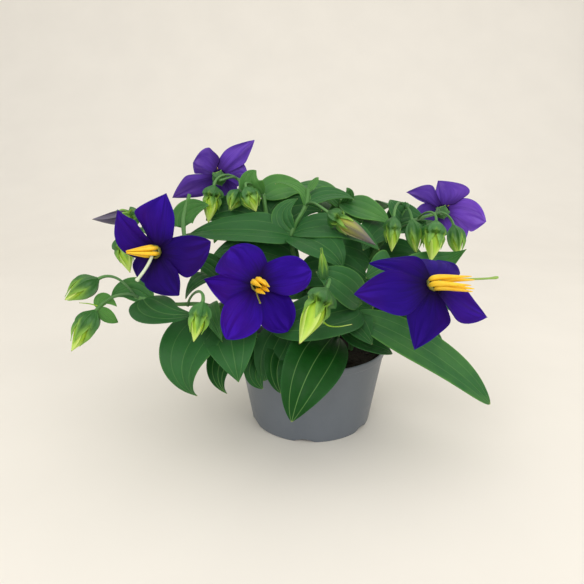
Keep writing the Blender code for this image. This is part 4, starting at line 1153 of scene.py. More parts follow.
class Finishes:
    """All the finishes of the plant, each made once."""

    def __init__(self) -> None:
        """Makes the materials."""
        self.leaf = LeafFinish().material()
        self.under = LeafFinish(
            "leaf_under", deep=(0.03, 0.11, 0.03), fresh=(0.075, 0.21, 0.065),
            young=(0.16, 0.36, 0.07), vein=(0.15, 0.28, 0.11), roughness=0.6).material()
        self.stem = GrownFinish(
            "stem_green", (0.045, 0.135, 0.035), (0.09, 0.25, 0.055), (0.17, 0.31, 0.11)).material()
        self.calyx = GrownFinish(
            "calyx_green", (0.030, 0.135, 0.022), (0.24, 0.46, 0.05), (0.05, 0.19, 0.03),
            blotch_share=0.5, turn=(0.4, 1.0)).material()
        self.petal = PetalFinish().material()
        # The back of a petal is paler than its face; its colours are raised further as painted light on
        # the back flowers' petals.
        self.back = PetalFinish(
            "petal_back", throat=(0.04, 0.012, 0.14), body=(0.11, 0.045, 0.39),
            light=(0.25, 0.13, 0.60), plum=(0.13, 0.045, 0.34), roughness=0.65).material()
        self.anther = GrownFinish(
            "anther_golden", (0.50, 0.34, 0.02), (0.90, 0.50, 0.01), (0.95, 0.68, 0.04),
            blotch_share=0.6, turn=(0.0, 0.3), ribs=20.0, roughness=0.4, glow=0.1).material()
        self.collar = GrownFinish(
            StyleLook.OLIVE.value, (0.13, 0.14, 0.02), (0.20, 0.19, 0.03), (0.27, 0.25, 0.04),
            blotch_share=0.5).material()
        self.styles: dict[StyleLook, Material] = {
            StyleLook.PALE: GrownFinish(
                StyleLook.PALE.value, (0.25, 0.36, 0.12), (0.62, 0.68, 0.50), (0.55, 0.64, 0.40),
                turn=(0.0, 0.35)).material(),
            StyleLook.GREEN: GrownFinish(
                StyleLook.GREEN.value, (0.22, 0.32, 0.08), (0.24, 0.40, 0.07),
                (0.36, 0.48, 0.14)).material(),
            StyleLook.OLIVE: self.collar,
        }
        self.buds: dict[BudLook, Material] = {
            BudLook.LIME: BudFinish(
                BudLook.LIME.value, body=(0.38, 0.58, 0.04), pale=(0.62, 0.76, 0.24),
                crease_shade=(0.18, 0.38, 0.02)).material(),
            BudLook.SLATE: BudFinish(
                BudLook.SLATE.value, body=(0.075, 0.06, 0.10), pale=(0.17, 0.16, 0.20),
                crease_shade=(0.03, 0.022, 0.045), point=(0.10, 0.06, 0.06)).material(),
            BudLook.FADING: BudFinish(
                BudLook.FADING.value, body=(0.42, 0.44, 0.06), pale=(0.11, 0.09, 0.12),
                crease_shade=(0.12, 0.12, 0.03), point=(0.06, 0.045, 0.06), fade_from=0.1,
                fade_share=0.95).material(),
        }
        self.pot = PotFinish().material()
        self.soil = SoilFinish().material()


@dataclass
class Blade:
    """The surface of a leaf or petal on an arched midrib.

    Hinge rounds the fold along the midrib: it holds what is added to the square of the share
    across, and what then comes off the root.
    """

    base: Point
    middle: Point
    tip: Point
    face: Point
    rows: int
    columns: int
    fold: float = 0.0
    twist: float = 0.0
    hinge: tuple[float, float] = (0.004, 0.063)

    def surface(self, halves: Callable[[float, Vector], tuple[float, float]],
                relief: Callable[[float, float, float], float]) -> tuple[
                    np.ndarray, np.ndarray, np.ndarray]:
        """Lays out the surface.

        Args:
            halves: the half widths in millimetres on both sides, from the share along and the
                place of the midrib there.
            relief: the rise above the flat blade in millimetres, from the share along, the
                share across from -1 to 1, and the half width there.

        Returns:
            The points and normals by row and column, and the mean half width of each row.
        """
        base, middle, tip = Vector(self.base), Vector(self.middle), Vector(self.tip)
        handle = 2 * middle - (base + tip) / 2
        line = (tip - base).normalized()
        side = line.cross(Vector(self.face)).normalized()
        side = Quaternion(line, math.radians(self.twist)) @ side
        normal = side.cross(line)
        fold = math.radians(self.fold)
        points = np.zeros((self.rows + 1, self.columns + 1, 3))
        normals = np.zeros_like(points)
        means = np.zeros(self.rows + 1)
        for i in range(self.rows + 1):
            even = i / self.rows
            t = 0.5 * even + 0.5 * (0.5 - 0.5 * math.cos(math.pi * even))
            point = base * (1 - t) ** 2 + handle * 2 * t * (1 - t) + tip * t * t
            ahead = ((handle - base) * (1 - t) + (tip - handle) * t).normalized()
            swing = line.rotation_difference(ahead)
            row_side, row_normal = swing @ side, swing @ normal
            left, right = halves(t, point)
            means[i] = (left + right) / 2
            for k in range(self.columns + 1):
                u = 2 * k / self.columns - 1
                half = right if u > 0 else left
                bend = math.sqrt(u * u + self.hinge[0]) - self.hinge[1]
                rise = bend * half * math.sin(fold) + relief(t, u, half)
                points[i, k] = point + row_side * (u * half * math.cos(fold)) + row_normal * rise
                normals[i, k] = row_normal
        return points, normals, means


@dataclass
class Foliage:
    """The leaf blades of one shoot, with their parallel veins pressed in.

    A leaf shorter than the small length has fewer rows and a younger tone. A leaf without a
    tone of its own has the low tone at the floor, and 1 more at the tone height, so the lower
    leaves are darker: partly as older leaves, partly as painted shade under the ones above.
    """

    shoot: Shoot
    finishes: Finishes
    seed: int
    rows: int = 34
    small_rows: int = 22
    columns: int = 20
    small_length: float = 30.0
    thickness: float = 0.45
    vein_depth: float = 0.36
    vein_breadth: float = 0.07
    wave: float = 0.05
    wave_turns: float = 9.0
    arch: float = 0.10
    curl: float = 2.5
    curl_from: float = 0.78
    low_tone: float = 0.1
    tone_height: float = 280.0
    tone_spread: float = 0.1
    small_tone: float = 0.16

    @staticmethod
    def outline(t: float, taper: float) -> float:
        """Share of the half width: a rounded base and a drawn-out tip."""
        widest = 0.5 / (0.5 + taper)
        return ((t + 0.0015) / widest) ** 0.5 * ((1.0 - t) / (1.0 - widest)) ** taper + 0.01

    def relief(self, phase: float, curl: float) -> Callable[[float, float, float], float]:
        """Makes the relief of one leaf.

        Args:
            phase: where the waves of its margin start.
            curl: how far its tip turns down, in millimetres.

        Returns:
            The rise at a place on it.
        """
        def rise(t: float, u: float, half: float) -> float:
            """Adds up pressed veins, a waved margin and a turned tip.

            Args:
                t: the share along.
                u: the share across.
                half: the half width.

            Returns:
                The rise.
            """
            gap = min(abs(abs(u) - place) for place in VEIN_PLACES)
            groove = -self.vein_depth * math.exp(-(gap / self.vein_breadth) ** 2) * min(1.0, half / 6.0)
            wave = math.sin(phase + self.wave_turns * t + (1.2 if u > 0 else 0.0))
            margin = self.wave * half * abs(u) ** 3 * wave
            turn = -curl * max(0.0, (t - self.curl_from) / (1.0 - self.curl_from)) ** 2
            return groove + margin + self.arch * half * (1 - u * u) + turn
        return rise

    def build(self) -> None:
        """Builds the leaves as one piece."""
        pile = Pile()
        chance = np.random.default_rng(self.seed)
        for leaf in self.shoot.leaves:
            small = (Vector(leaf.tip) - Vector(leaf.base)).length < self.small_length
            blade = Blade(leaf.base, leaf.middle, leaf.tip, leaf.face,
                          self.small_rows if small else self.rows, self.columns, leaf.fold)
            relief = self.relief(chance.uniform(0.0, 6.28), chance.uniform(0.0, self.curl))

            def halves(t: float, place: Vector, leaf: Leaf = leaf) -> tuple[float, float]:
                """Both sides of the leaf are alike."""
                half = leaf.width / 2 * self.outline(t, leaf.taper)
                return half, half

            points, normals, means = blade.surface(halves, relief)
            tone = leaf.tone
            if tone is None:
                tone = chance.normal(self.low_tone + leaf.middle[2] / self.tone_height, self.tone_spread)
                tone = float(np.clip(tone + (self.small_tone if small else 0.0), 0.05, 0.92))
            pile.sheet(points, normals, self.thickness, tone, means, under=1)
        pile.piece(self.shoot.name.replace("stem_", "leaves_"),
                   (self.finishes.leaf, self.finishes.under), [self.shoot.name])


@dataclass
class Stalks:
    """The stems, stalks and threads of one shoot, four-angled and swollen at their nodes.

    A stalk runs straight along its calyx's axis over the arrival, and sinks into it by the sink.
    """

    shoot: Shoot
    finishes: Finishes
    sides: int = 12
    angled: float = 0.09
    swelling: float = 0.3
    swelling_reach: float = 2.2
    stem_steps: int = 8
    stem_tone: float = 0.5
    foot_depth: float = 24.0
    stalk_radius: float = 0.75
    stalk_flare: float = 0.35
    stalk_steps: int = 16
    stalk_tone: float = 0.45
    arrival: float = 9.0
    sink: float = 0.8
    thread_radius: float = 0.42
    thread_steps: int = 6
    thread_tone: float = 0.9

    def tube(self, pile: Pile, path: Sequence[Vector], radii: Sequence[float],
             nodes: Sequence[Vector], tone: float, paint: int = 0) -> None:
        """Adds one stem, stalk or thread.

        Args:
            pile: what it is added to.
            path: its line.
            radii: its radius at each point.
            nodes: where something grows from it.
            tone: its tone.
            paint: which of the piece's materials it takes.
        """
        swells = [max([math.exp(-((point - node).length / self.swelling_reach) ** 2) for node in nodes],
                      default=0.0) for point in path]

        def shape(i: int, angle: float, out: Vector) -> float:
            """Four soft angles, and a swelling at each node."""
            return 1 + self.swelling * swells[i] + self.angled * math.cos(4 * angle)

        pile.rings(tube_rings(path, radii, self.sides, shape=shape), tone, paint)

    def build(self) -> None:
        """Builds the stems and stalks as one piece."""
        pile = Pile()
        nodes = [Vector(leaf.base) for leaf in self.shoot.leaves]
        for i, stem in enumerate(self.shoot.stems):
            path = smooth_path(stem.points, self.stem_steps)
            if i == 0:
                foot = Vector(stem.points[0])
                below = Vector((foot.x, foot.y, self.foot_depth))
                path = [below, below.lerp(foot, 0.5)] + path
            last = len(path) - 1
            radii = [stem.start_radius + (stem.end_radius - stem.start_radius) * k / last
                     for k in range(last + 1)]
            self.tube(pile, path, radii, nodes, self.stem_tone)
        for bloom in self.shoot.blooms:
            neck, facing = Calyx.bloom_neck(bloom)
            self.stalk(pile, Vector(bloom.stalk), neck, facing)
        for bud in self.shoot.buds:
            neck = Vector(bud.neck)
            self.stalk(pile, Vector(bud.stalk), neck, (Vector(bud.tip) - neck).normalized())
        for points in self.shoot.threads:
            path = smooth_path(points, self.thread_steps)
            radii = [self.thread_radius * (1 - 0.5 * k / len(path)) for k in range(len(path))]
            self.tube(pile, path, radii, [], self.thread_tone, 1)
        pile.piece(self.shoot.name.replace("stem_", "stalks_"),
                   (self.finishes.stem, self.finishes.buds[BudLook.LIME]), [self.shoot.name])

    def stalk(self, pile: Pile, start: Vector, neck: Vector, axis: Vector) -> None:
        """Adds the arched stalk of one flower or bud.

        Args:
            pile: what it is added to.
            start: where it leaves the stem.
            neck: where the calyx starts.
            axis: the way the calyx points.
        """
        reach = (neck - start).length
        lean = start + (neck - start) * 0.25 + UP * reach * 0.3
        arrive = neck - axis * min(reach / 2, self.arrival)
        path = bezier_path(start, lean, arrive, neck + axis * self.sink, self.stalk_steps)
        radii = [self.stalk_radius * (1.0 + self.stalk_flare * (k / self.stalk_steps) ** 4)
                 for k in range(len(path))]
        self.tube(pile, path, radii, [start], self.stalk_tone)


@dataclass
class Calyx:
    """The cup of five winged sepals behind each flower and round each bud.

    The sinus is the share of the length at which the sepals part. The line holds the cup's share
    of its radius over its height. Seat and gap are how far a flower's tube stands above the neck.
    """

    shoot: Shoot
    finishes: Finishes
    sepals: int = 5
    columns: int = 12
    rows: int = 16
    wall: float = 0.4
    sinus: float = 0.48
    tooth: float = 0.08
    wing: float = 0.26
    wing_breadth: float = 0.16
    dip: float = 0.05
    seat: float = 2.4
    gap: float = 0.6
    bloom_length: float = 6.6
    bloom_radius: float = 4.6
    bloom_spread: float = 0.25
    bloom_tone: float = 0.35
    bud_spread: float = 0.05
    bud_ease: float = 1.1
    bud_clear: float = 0.2
    line: Table = ((0.0, 0.2), (0.08, 0.42), (0.2, 0.82), (0.38, 1.04), (0.62, 1.0), (0.85, 0.96),
                   (1.0, 0.93))

    @staticmethod
    def bloom_neck(bloom: Bloom) -> tuple[Vector, Vector]:
        """The place where a flower's calyx starts, and the way the flower faces."""
        facing = Vector(bloom.facing).normalized()
        return Vector(bloom.centre) - facing * (TUBE_LENGTH + Calyx.gap + Calyx.seat), facing

    def cup(self, pile: Pile, neck: Vector, axis: Vector, length: float, radius: float,
            spread: float, tone: float, inside: Bud | None = None) -> None:
        """Adds one calyx.

        Args:
            pile: what it is added to.
            neck: where it starts.
            axis: the way it points.
            length: its length to the sepals' tips.
            radius: its radius.
            spread: how far the tips turn out, as a share of the radius.
            tone: its tone.
            inside: the bud that it closes round, if any.
        """
        side, normal = frame_for(axis)
        around = self.sepals * self.columns
        outer = np.zeros((self.rows + 1, around, 3))
        inner = np.zeros_like(outer)
        for k in range(around):
            angle = math.tau * k / around
            phase = (k / self.columns + 0.5) % 1.0 * 2 - 1
            lobe = (1 - abs(phase)) ** 0.75
            top = self.sinus + (1 - self.sinus) * lobe + self.tooth * max(0.0, 1 - abs(phase) * 5)
            keel = math.exp(-(phase / self.wing_breadth) ** 2)
            out = side * math.cos(angle) + normal * math.sin(angle)
            for i in range(self.rows + 1):
                share = i / self.rows * top
                reach = radius * table_value(self.line, min(share, 1.0))
                if inside and share > self.sinus:
                    closed = FurledBud.radius(inside, share * length)
                    reach = min(reach, closed * self.bud_ease + self.wall + self.bud_clear)
                ridge = keel * self.wing * radius * math.sin(math.pi * min(1.0, share * 1.05)) ** 0.7
                dip = -self.dip * radius * abs(phase) ** 4 if share < self.sinus else 0.0
                flare = spread * radius * max(0.0, (share - 0.8) / 0.3) ** 2
                point = neck + axis * (share * length)
                outer[i, k] = point + out * (reach + ridge + dip + flare)
                depth = max(0.15, reach + 0.3 * ridge + flare - self.wall)
                inner[i, k] = point + axis * (0.3 if i == 0 else 0.0) + out * depth
        pile.rings(np.concatenate([outer, inner[::-1]]), tone)
        along = np.concatenate([np.linspace(0, 1, self.rows + 1), np.linspace(1, 0, self.rows + 1)])
        pile.blade[-1][:, 1] = np.repeat(along, around)

    def build(self) -> None:
        """Builds the calyces of the shoot as one piece."""
        if not self.shoot.blooms and not self.shoot.buds:
            return
        pile = Pile()
        for bloom in self.shoot.blooms:
            neck, facing = self.bloom_neck(bloom)
            self.cup(pile, neck, facing, self.bloom_length, self.bloom_radius, self.bloom_spread,
                     self.bloom_tone)
        for i, bud in enumerate(self.shoot.buds):
            neck = Vector(bud.neck)
            axis = (Vector(bud.tip) - neck).normalized()
            tone = 0.4 + 0.12 * (i % 3)
            self.cup(pile, neck, axis, bud.length * bud.cover, bud.width / 2, self.bud_spread, tone, bud)
        pile.piece(self.shoot.name.replace("stem_", "calyces_"), (self.finishes.calyx,),
                   [self.shoot.name])


@dataclass
class FurledBud:
    """The closed corolla of one bud, its five petals furled round each other.

    Seat is how far above the neck it starts, and snug how much slimmer than its calyx it is. The
    phases are places across each petal, and the line the share of its radius over its height.
    """

    name: str
    bud: Bud
    finishes: Finishes
    petals: int = 5
    rows: int = 30
    twist: float = 0.9
    fold: float = 0.22
    hollow: float = 0.10
    seat: float = 3.3
    snug: float = 1.0
    phases: tuple[float, ...] = (0.0, 0.05, 0.18, 0.34, 0.5, 0.66, 0.8, 0.91, 0.97)
    line: Table = ((0.0, 0.1), (0.15, 0.5), (0.3, 0.9), (0.42, 1.0), (0.55, 0.9), (0.7, 0.66),
                   (0.85, 0.36), (0.94, 0.16), (1.0, 0.03))

    @staticmethod
    def radius(bud: Bud, height: float) -> float:
        """Finds how wide a closed corolla is.

        Args:
            bud: the bud.
            height: how far up from its neck, in millimetres.

        Returns:
            The radius of the corolla there.
        """
        reach = (Vector(bud.tip) - Vector(bud.neck)).length
        share = min(1.0, max(0.0, (height - FurledBud.seat) / (reach - FurledBud.seat)))
        return (bud.width / 2 - FurledBud.snug) * table_value(FurledBud.line, share)

    def build(self) -> None:
        """Builds the bud as one piece."""
        bud = self.bud
        neck, tip = Vector(bud.neck), Vector(bud.tip)
        axis = (tip - neck).normalized()
        side, normal = frame_for(axis)
        reach = (tip - neck).length
        columns = [(petal, phase) for petal in range(self.petals) for phase in self.phases]
        rings = np.zeros((self.rows + 1, len(columns), 3))
        for i in range(self.rows + 1):
            t = i / self.rows
            height = self.seat + (reach - self.seat) * t
            radius = self.radius(bud, height)
            depth = math.sin(math.pi * min(1.0, 0.12 + t)) ** 0.5
            for k, (petal, phase) in enumerate(columns):
                angle = math.tau * (petal + phase) / self.petals + self.twist * t
                step = self.fold * (phase - 0.5) - self.hollow * math.sin(math.pi * phase)
                out = side * math.cos(angle) + normal * math.sin(angle)
                rings[i, k] = neck + axis * height + out * radius * (1 + step * depth)
        pile = Pile()
        pile.rings(rings)
        pile.look[-1][:, 1] = np.tile([phase for _, phase in columns], self.rows + 1)
        pile.piece(self.name.replace("bud_", "furled_"), (self.finishes.buds[bud.look],),
                   [self.name])


@dataclass
class Flower:
    """One open flower: five overlapping petals, the anther cone on its collar, and the pistil.

    A petal's midrib starts at the root share of the throat. The seam limit is the widest angle up
    to a seam, and firmness how sharply a half is held there. The style keeps the style angle from
    the lean of the anthers. Seat is how far before the throat the collar and ovary stand. Drawn,
    pointed and squared are outlines of a petal.
    """

    bloom: Bloom
    finishes: Finishes
    seed: int
    throat: float = 4.6
    root_share: float = 0.7
    thickness: float = 0.5
    rows: int = 36
    columns: int = 24
    overlap: float = 1.0
    seam_limit: float = 1.2
    seam_ease: float = 1.05
    firmness: int = 14
    lap: float = 0.8
    rib_depth: float = 0.55
    pleat: float = 0.07
    wave: float = 0.5
    cupping: float = 0.10
    funnel_sides: int = 30
    funnel_tone: float = 0.4
    funnel_share: float = 0.15
    seat: float = 0.5
    collar_outer: float = 3.9
    collar_inner: float = 2.5
    collar_height: float = 2.4
    collar_bulge: float = 0.10
    collar_sides: int = 40
    collar_turns: int = 12
    anthers: int = 5
    anther_radius: float = 1.2
    anther_steps: int = 22
    anther_sides: int = 16
    groove: float = 0.22
    low_rise: float = 3.0
    high_rise: float = 6.0
    style_angle: float = 105.0
    style_steps: int = 24
    style_sides: int = 14
    style_tone: float = 0.6
    ovary_height: float = 2.7
    ovary_neck: float = 0.9
    ovary: Table = ((0.0, 1.2), (0.2, 1.7), (0.45, 1.9), (0.75, 1.4))
    funnel_line: Table = (
        (0.6, -TUBE_LENGTH), (2.2, -3.6), (3.9, -1.2), (4.8, -0.1), (4.2, 0.12), (2.6, 0.1),
        (1.0, -0.2), (0.3, -0.4))
    anther_line: Table = (
        (0.0, 0.55), (0.15, 0.95), (0.32, 1.0), (0.6, 0.78), (0.82, 0.48), (0.95, 0.26), (1.0, 0.12))
    drawn: Table = (
        (0.0, 0.80), (0.15, 0.92), (0.3, 1.0), (0.42, 0.93), (0.55, 0.72), (0.68, 0.46),
        (0.8, 0.27), (0.9, 0.14), (1.0, 0.01))
    pointed: Table = (
        (0.0, 0.80), (0.15, 0.90), (0.3, 0.97), (0.42, 1.0), (0.55, 0.95), (0.68, 0.80),
        (0.8, 0.57), (0.9, 0.31), (0.96, 0.13), (1.0, 0.01))
    squared: Table = (
        (0.0, 0.78), (0.15, 0.86), (0.3, 0.93), (0.45, 0.98), (0.6, 1.0), (0.74, 0.96),
        (0.86, 0.82), (0.94, 0.56), (0.98, 0.3), (1.0, 0.05))

    def __post_init__(self) -> None:
        """Works out the flower's own frame."""
        self.facing = Vector(self.bloom.facing).normalized()
        self.side, self.up = frame_for(self.facing)
        self.centre = Vector(self.bloom.centre)

    def outline(self, t: float, blunt: float) -> float:
        """Reads the outline of a petal.

        Args:
            t: the share along it.
            blunt: how blunt it is.

        Returns:
            The share of its half width.
        """
        other = self.squared if blunt > 0 else self.drawn
        share = table_value(self.pointed, t) * (1 - abs(blunt)) + table_value(other, t) * abs(blunt)
        return max(0.01, share)

    def round_throat(self, angle: float) -> Vector:
        """The direction at an angle round the throat."""
        return self.side * math.cos(angle) + self.up * math.sin(angle)

    def angle_of(self, offset: Vector) -> float:
        """The angle round the throat of a place given from its centre."""
        return math.atan2(offset.dot(self.up), offset.dot(self.side))

    def style_side(self) -> float:
        """Finds the side of the throat on which the style leaves it.

        Returns:
            Its angle round the throat.
        """
        lean = self.angle_of(Vector(self.bloom.anthers))
        offset = (self.angle_of(Vector(self.bloom.style)) - lean + math.pi) % math.tau - math.pi
        return lean + math.copysign(max(abs(offset), math.radians(self.style_angle)), offset)

    def petals(self) -> None:
        """Builds the petals as one piece."""
        pile = Pile()
        chance = np.random.default_rng(self.seed)
        for angle, petal, rooms in self.seats():
            base = self.centre + self.round_throat(angle) * self.throat * self.root_share
            middle = (base + Vector(petal.tip)) / 2 + self.facing * petal.lift
            blade = Blade(tuple(base), tuple(middle), petal.tip, tuple(self.facing), self.rows,
                          self.columns, twist=petal.twist)
            points, normals, means = blade.surface(self.petal_halves(petal, rooms),
                                                   self.petal_relief(chance))
            pile.sheet(points, normals, self.thickness, petal.tone, means, under=1)
        self.funnel(pile)
        pile.piece(self.bloom.name.replace("flower_", "corolla_"),
                   (self.finishes.petal, self.finishes.back), [self.bloom.name + "_petals"])

    def petal_angle(self, petal: Petal) -> float:
        """The angle round the throat at which a petal stands."""
        return self.angle_of(Vector(petal.tip) - self.centre)

    def seats(self) -> list[tuple[float, Petal, tuple[float, float]]]:
        """Finds each petal's place round the throat.

        Returns:
            For each petal its angle, the petal, and the angles to its two seams, which a wide
            half pushes towards a narrow one.
        """
        ordered = sorted(self.bloom.petals, key=self.petal_angle)
        angles = [self.petal_angle(petal) for petal in ordered]
        shares = []
        for i, petal in enumerate(ordered):
            following = ordered[(i + 1) % len(ordered)]
            gap = (angles[(i + 1) % len(ordered)] - angles[i]) % math.tau
            mine, theirs = petal.width * (1 + petal.skew), following.width * (1 - following.skew)
            shares.append((gap * mine / (mine + theirs), gap * theirs / (mine + theirs)))
        return [(angles[i], petal, (shares[i - 1][1], shares[i][0])) for i, petal in enumerate(ordered)]

    def petal_halves(self, petal: Petal, rooms: tuple[float, float]) -> Callable[
            [float, Vector], tuple[float, float]]:
        """Makes the function that gives a petal's half widths.

        Args:
            petal: the petal.
            rooms: the angles on both sides up to the seams with its neighbours.

        Returns:
            The function, of the share along and the place of the midrib.
        """
        def halves(t: float, place: Vector) -> tuple[float, float]:
            """Holds the petal's outline near its seams, so that it just laps its neighbour.

            Args:
                t: the share along.
                place: the place of the midrib.

            Returns:
                Both half widths.
            """
            share = self.outline(t, petal.blunt)
            offset = place - self.centre
            reach = (offset - self.facing * offset.dot(self.facing)).length
            both = []
            for way, room in ((-1.0, rooms[0]), (1.0, rooms[1])):
                own = petal.width / 2 * share * (1 + way * petal.skew)
                seam = reach * math.tan(min(room, self.seam_limit)) * self.seam_ease + self.overlap
                both.append((own ** -self.firmness + seam ** -self.firmness) ** (-1 / self.firmness))
            return both[0], both[1]
        return halves

    def petal_relief(self, chance: np.random.Generator) -> Callable[[float, float, float], float]:
        """Makes the function that gives a petal's relief.

        Args:
            chance: the flower's source of chance.

        Returns:
            The function, of the share along, the share across and the half width.
        """
        phase, ruffle = chance.uniform(0, 6.28), chance.uniform(0.7, 1.4)

        def rise(t: float, u: float, half: float) -> float:
            """Lays one edge over the next petal, with a pressed midrib, pleats and a waved margin.

            Args:
                t: the share along.
                u: the share across.
                half: the half width.

            Returns:
                The rise.
            """
            swell = math.sin(math.pi * t)
            lap = self.lap * u * min(1.0, t * 3.0) * (1.0 - 0.6 * t)
            rib = -self.rib_depth * math.exp(-(u / 0.13) ** 2) * (1 - t) * min(1.0, t * 5.0)
            pleat = self.pleat * math.cos(u * 21.0) * swell ** 0.5
            wave = self.wave * math.cos(u * 5.5 + phase) * swell
            margin = ruffle * abs(u) ** 3 * math.sin(phase + 7.5 * t + (2.0 if u > 0 else 0.0))
            return lap + rib + pleat + wave + margin * swell + self.cupping * u * u * half
        return rise

    def funnel(self, pile: Pile) -> None:
        """Adds the short tube behind the throat.

        Args:
            pile: what it is added to.
        """
        axes = np.array((self.side, self.up, self.facing))
        rings = turned(self.funnel_line, self.funnel_sides) @ axes + np.array(self.centre)
        # The tube takes the throat colour and a low tone: painted shade deep in the throat.
        pile.rings(rings, self.funnel_tone)
        pile.blade[-1][:, 1] *= self.funnel_share

    def stamens(self) -> None:
        """Builds the collar and its five anthers as one piece."""
        pile = Pile()
        low = self.centre + self.facing * self.seat
        middle = (self.collar_outer + self.collar_inner) / 2
        breadth = (self.collar_outer - self.collar_inner) / 2
        rings = []
        for k in range(self.collar_sides):
            angle = math.tau * k / self.collar_sides
            out = self.round_throat(angle)
            bulge = 1 + self.collar_bulge * math.cos(2 * self.anthers * angle)
            ring = []
            for n in range(self.collar_turns):
                turn = math.tau * n / self.collar_turns
                ring.append(tuple(low + out * (middle + breadth * math.cos(turn) * bulge)
                                  + self.facing * self.collar_height / 2 * (1 + math.sin(turn) * bulge)))
            rings.append(ring)
        rings.append(rings[0])
        pile.rings(np.array(rings), paint=1, capped=False)
        away = self.style_side()
        tip = self.centre + Vector(self.bloom.anthers)
        along = Vector(self.bloom.anthers).normalized()
        for k in range(1, self.anthers + 1):
            out = self.round_throat(away + math.tau * k / (self.anthers + 1))
            root = low + out * middle + self.facing * self.collar_height * 0.5
            end = tip + (out - along * out.dot(along)) * self.bloom.splay
            rise = self.low_rise + (self.high_rise - self.low_rise) * (1 - out.dot(along)) / 2
            self.anther(pile, root, end, out, rise, 0.45 + 0.1 * (k % 3))
        pile.piece(self.bloom.name.replace("flower_", "stamens_"),
                   (self.finishes.anther, self.finishes.collar),
                   [self.bloom.name + "_stamens"])

    def anther(self, pile: Pile, root: Vector, end: Vector, out: Vector, rise: float,
               tone: float) -> None:
        """Adds one anther: two long lobes with a groove between, narrowing to its tip.

        Args:
            pile: what it is added to.
            root: where it stands on the collar.
            end: its tip.
            out: the way outwards from the throat's centre.
            rise: how far it rises before it leans.
            tone: its tone.
        """
        path = bezier_path(root, root + self.facing * rise, (root + end) / 2 + self.facing, end,
                           self.anther_steps)
        size = self.anther_radius * self.bloom.stout
        radii = [size * table_value(self.anther_line, i / self.anther_steps) for i in range(len(path))]

        def shape(i: int, angle: float, way: Vector) -> float:
            """A groove down the outer side."""
            return 1 - self.groove * math.exp(-((1 - way.dot(out)) / 0.12) ** 2)

        pile.rings(tube_rings(path, radii, self.anther_sides, self.facing, shape), tone)

    def pistil(self) -> None:
        """Builds the ovary and its style as one piece."""
        foot = self.centre + self.facing * self.seat
        out = self.round_throat(self.style_side())
        top = foot + self.facing * self.ovary_height
        tip = self.centre + Vector(self.bloom.style)
        path = [foot + self.facing * self.ovary_height * share for share, _ in self.ovary]
        path += bezier_path(top, top.lerp(tip, 0.2) + out * 2.6,
                            top.lerp(tip, 0.65) + out * 0.4 - UP * 1.2, tip, self.style_steps)
        rod = self.bloom.rod
        radii = [radius for _, radius in self.ovary] + [self.ovary_neck, rod * 1.15]
        radii += [rod] * (self.style_steps - 4) + [rod * 1.2, rod * 1.5, rod * 1.1]
        pile = Pile()
        pile.rings(tube_rings(path, radii, self.style_sides), self.style_tone)
        pile.piece(self.bloom.name.replace("flower_", "style_"),
                   (self.finishes.styles[self.bloom.look],),
                   [self.bloom.name + "_pistil"])

    def build(self) -> None:
        """Builds every piece of the flower."""
        self.petals()
        self.stamens()
        self.pistil()


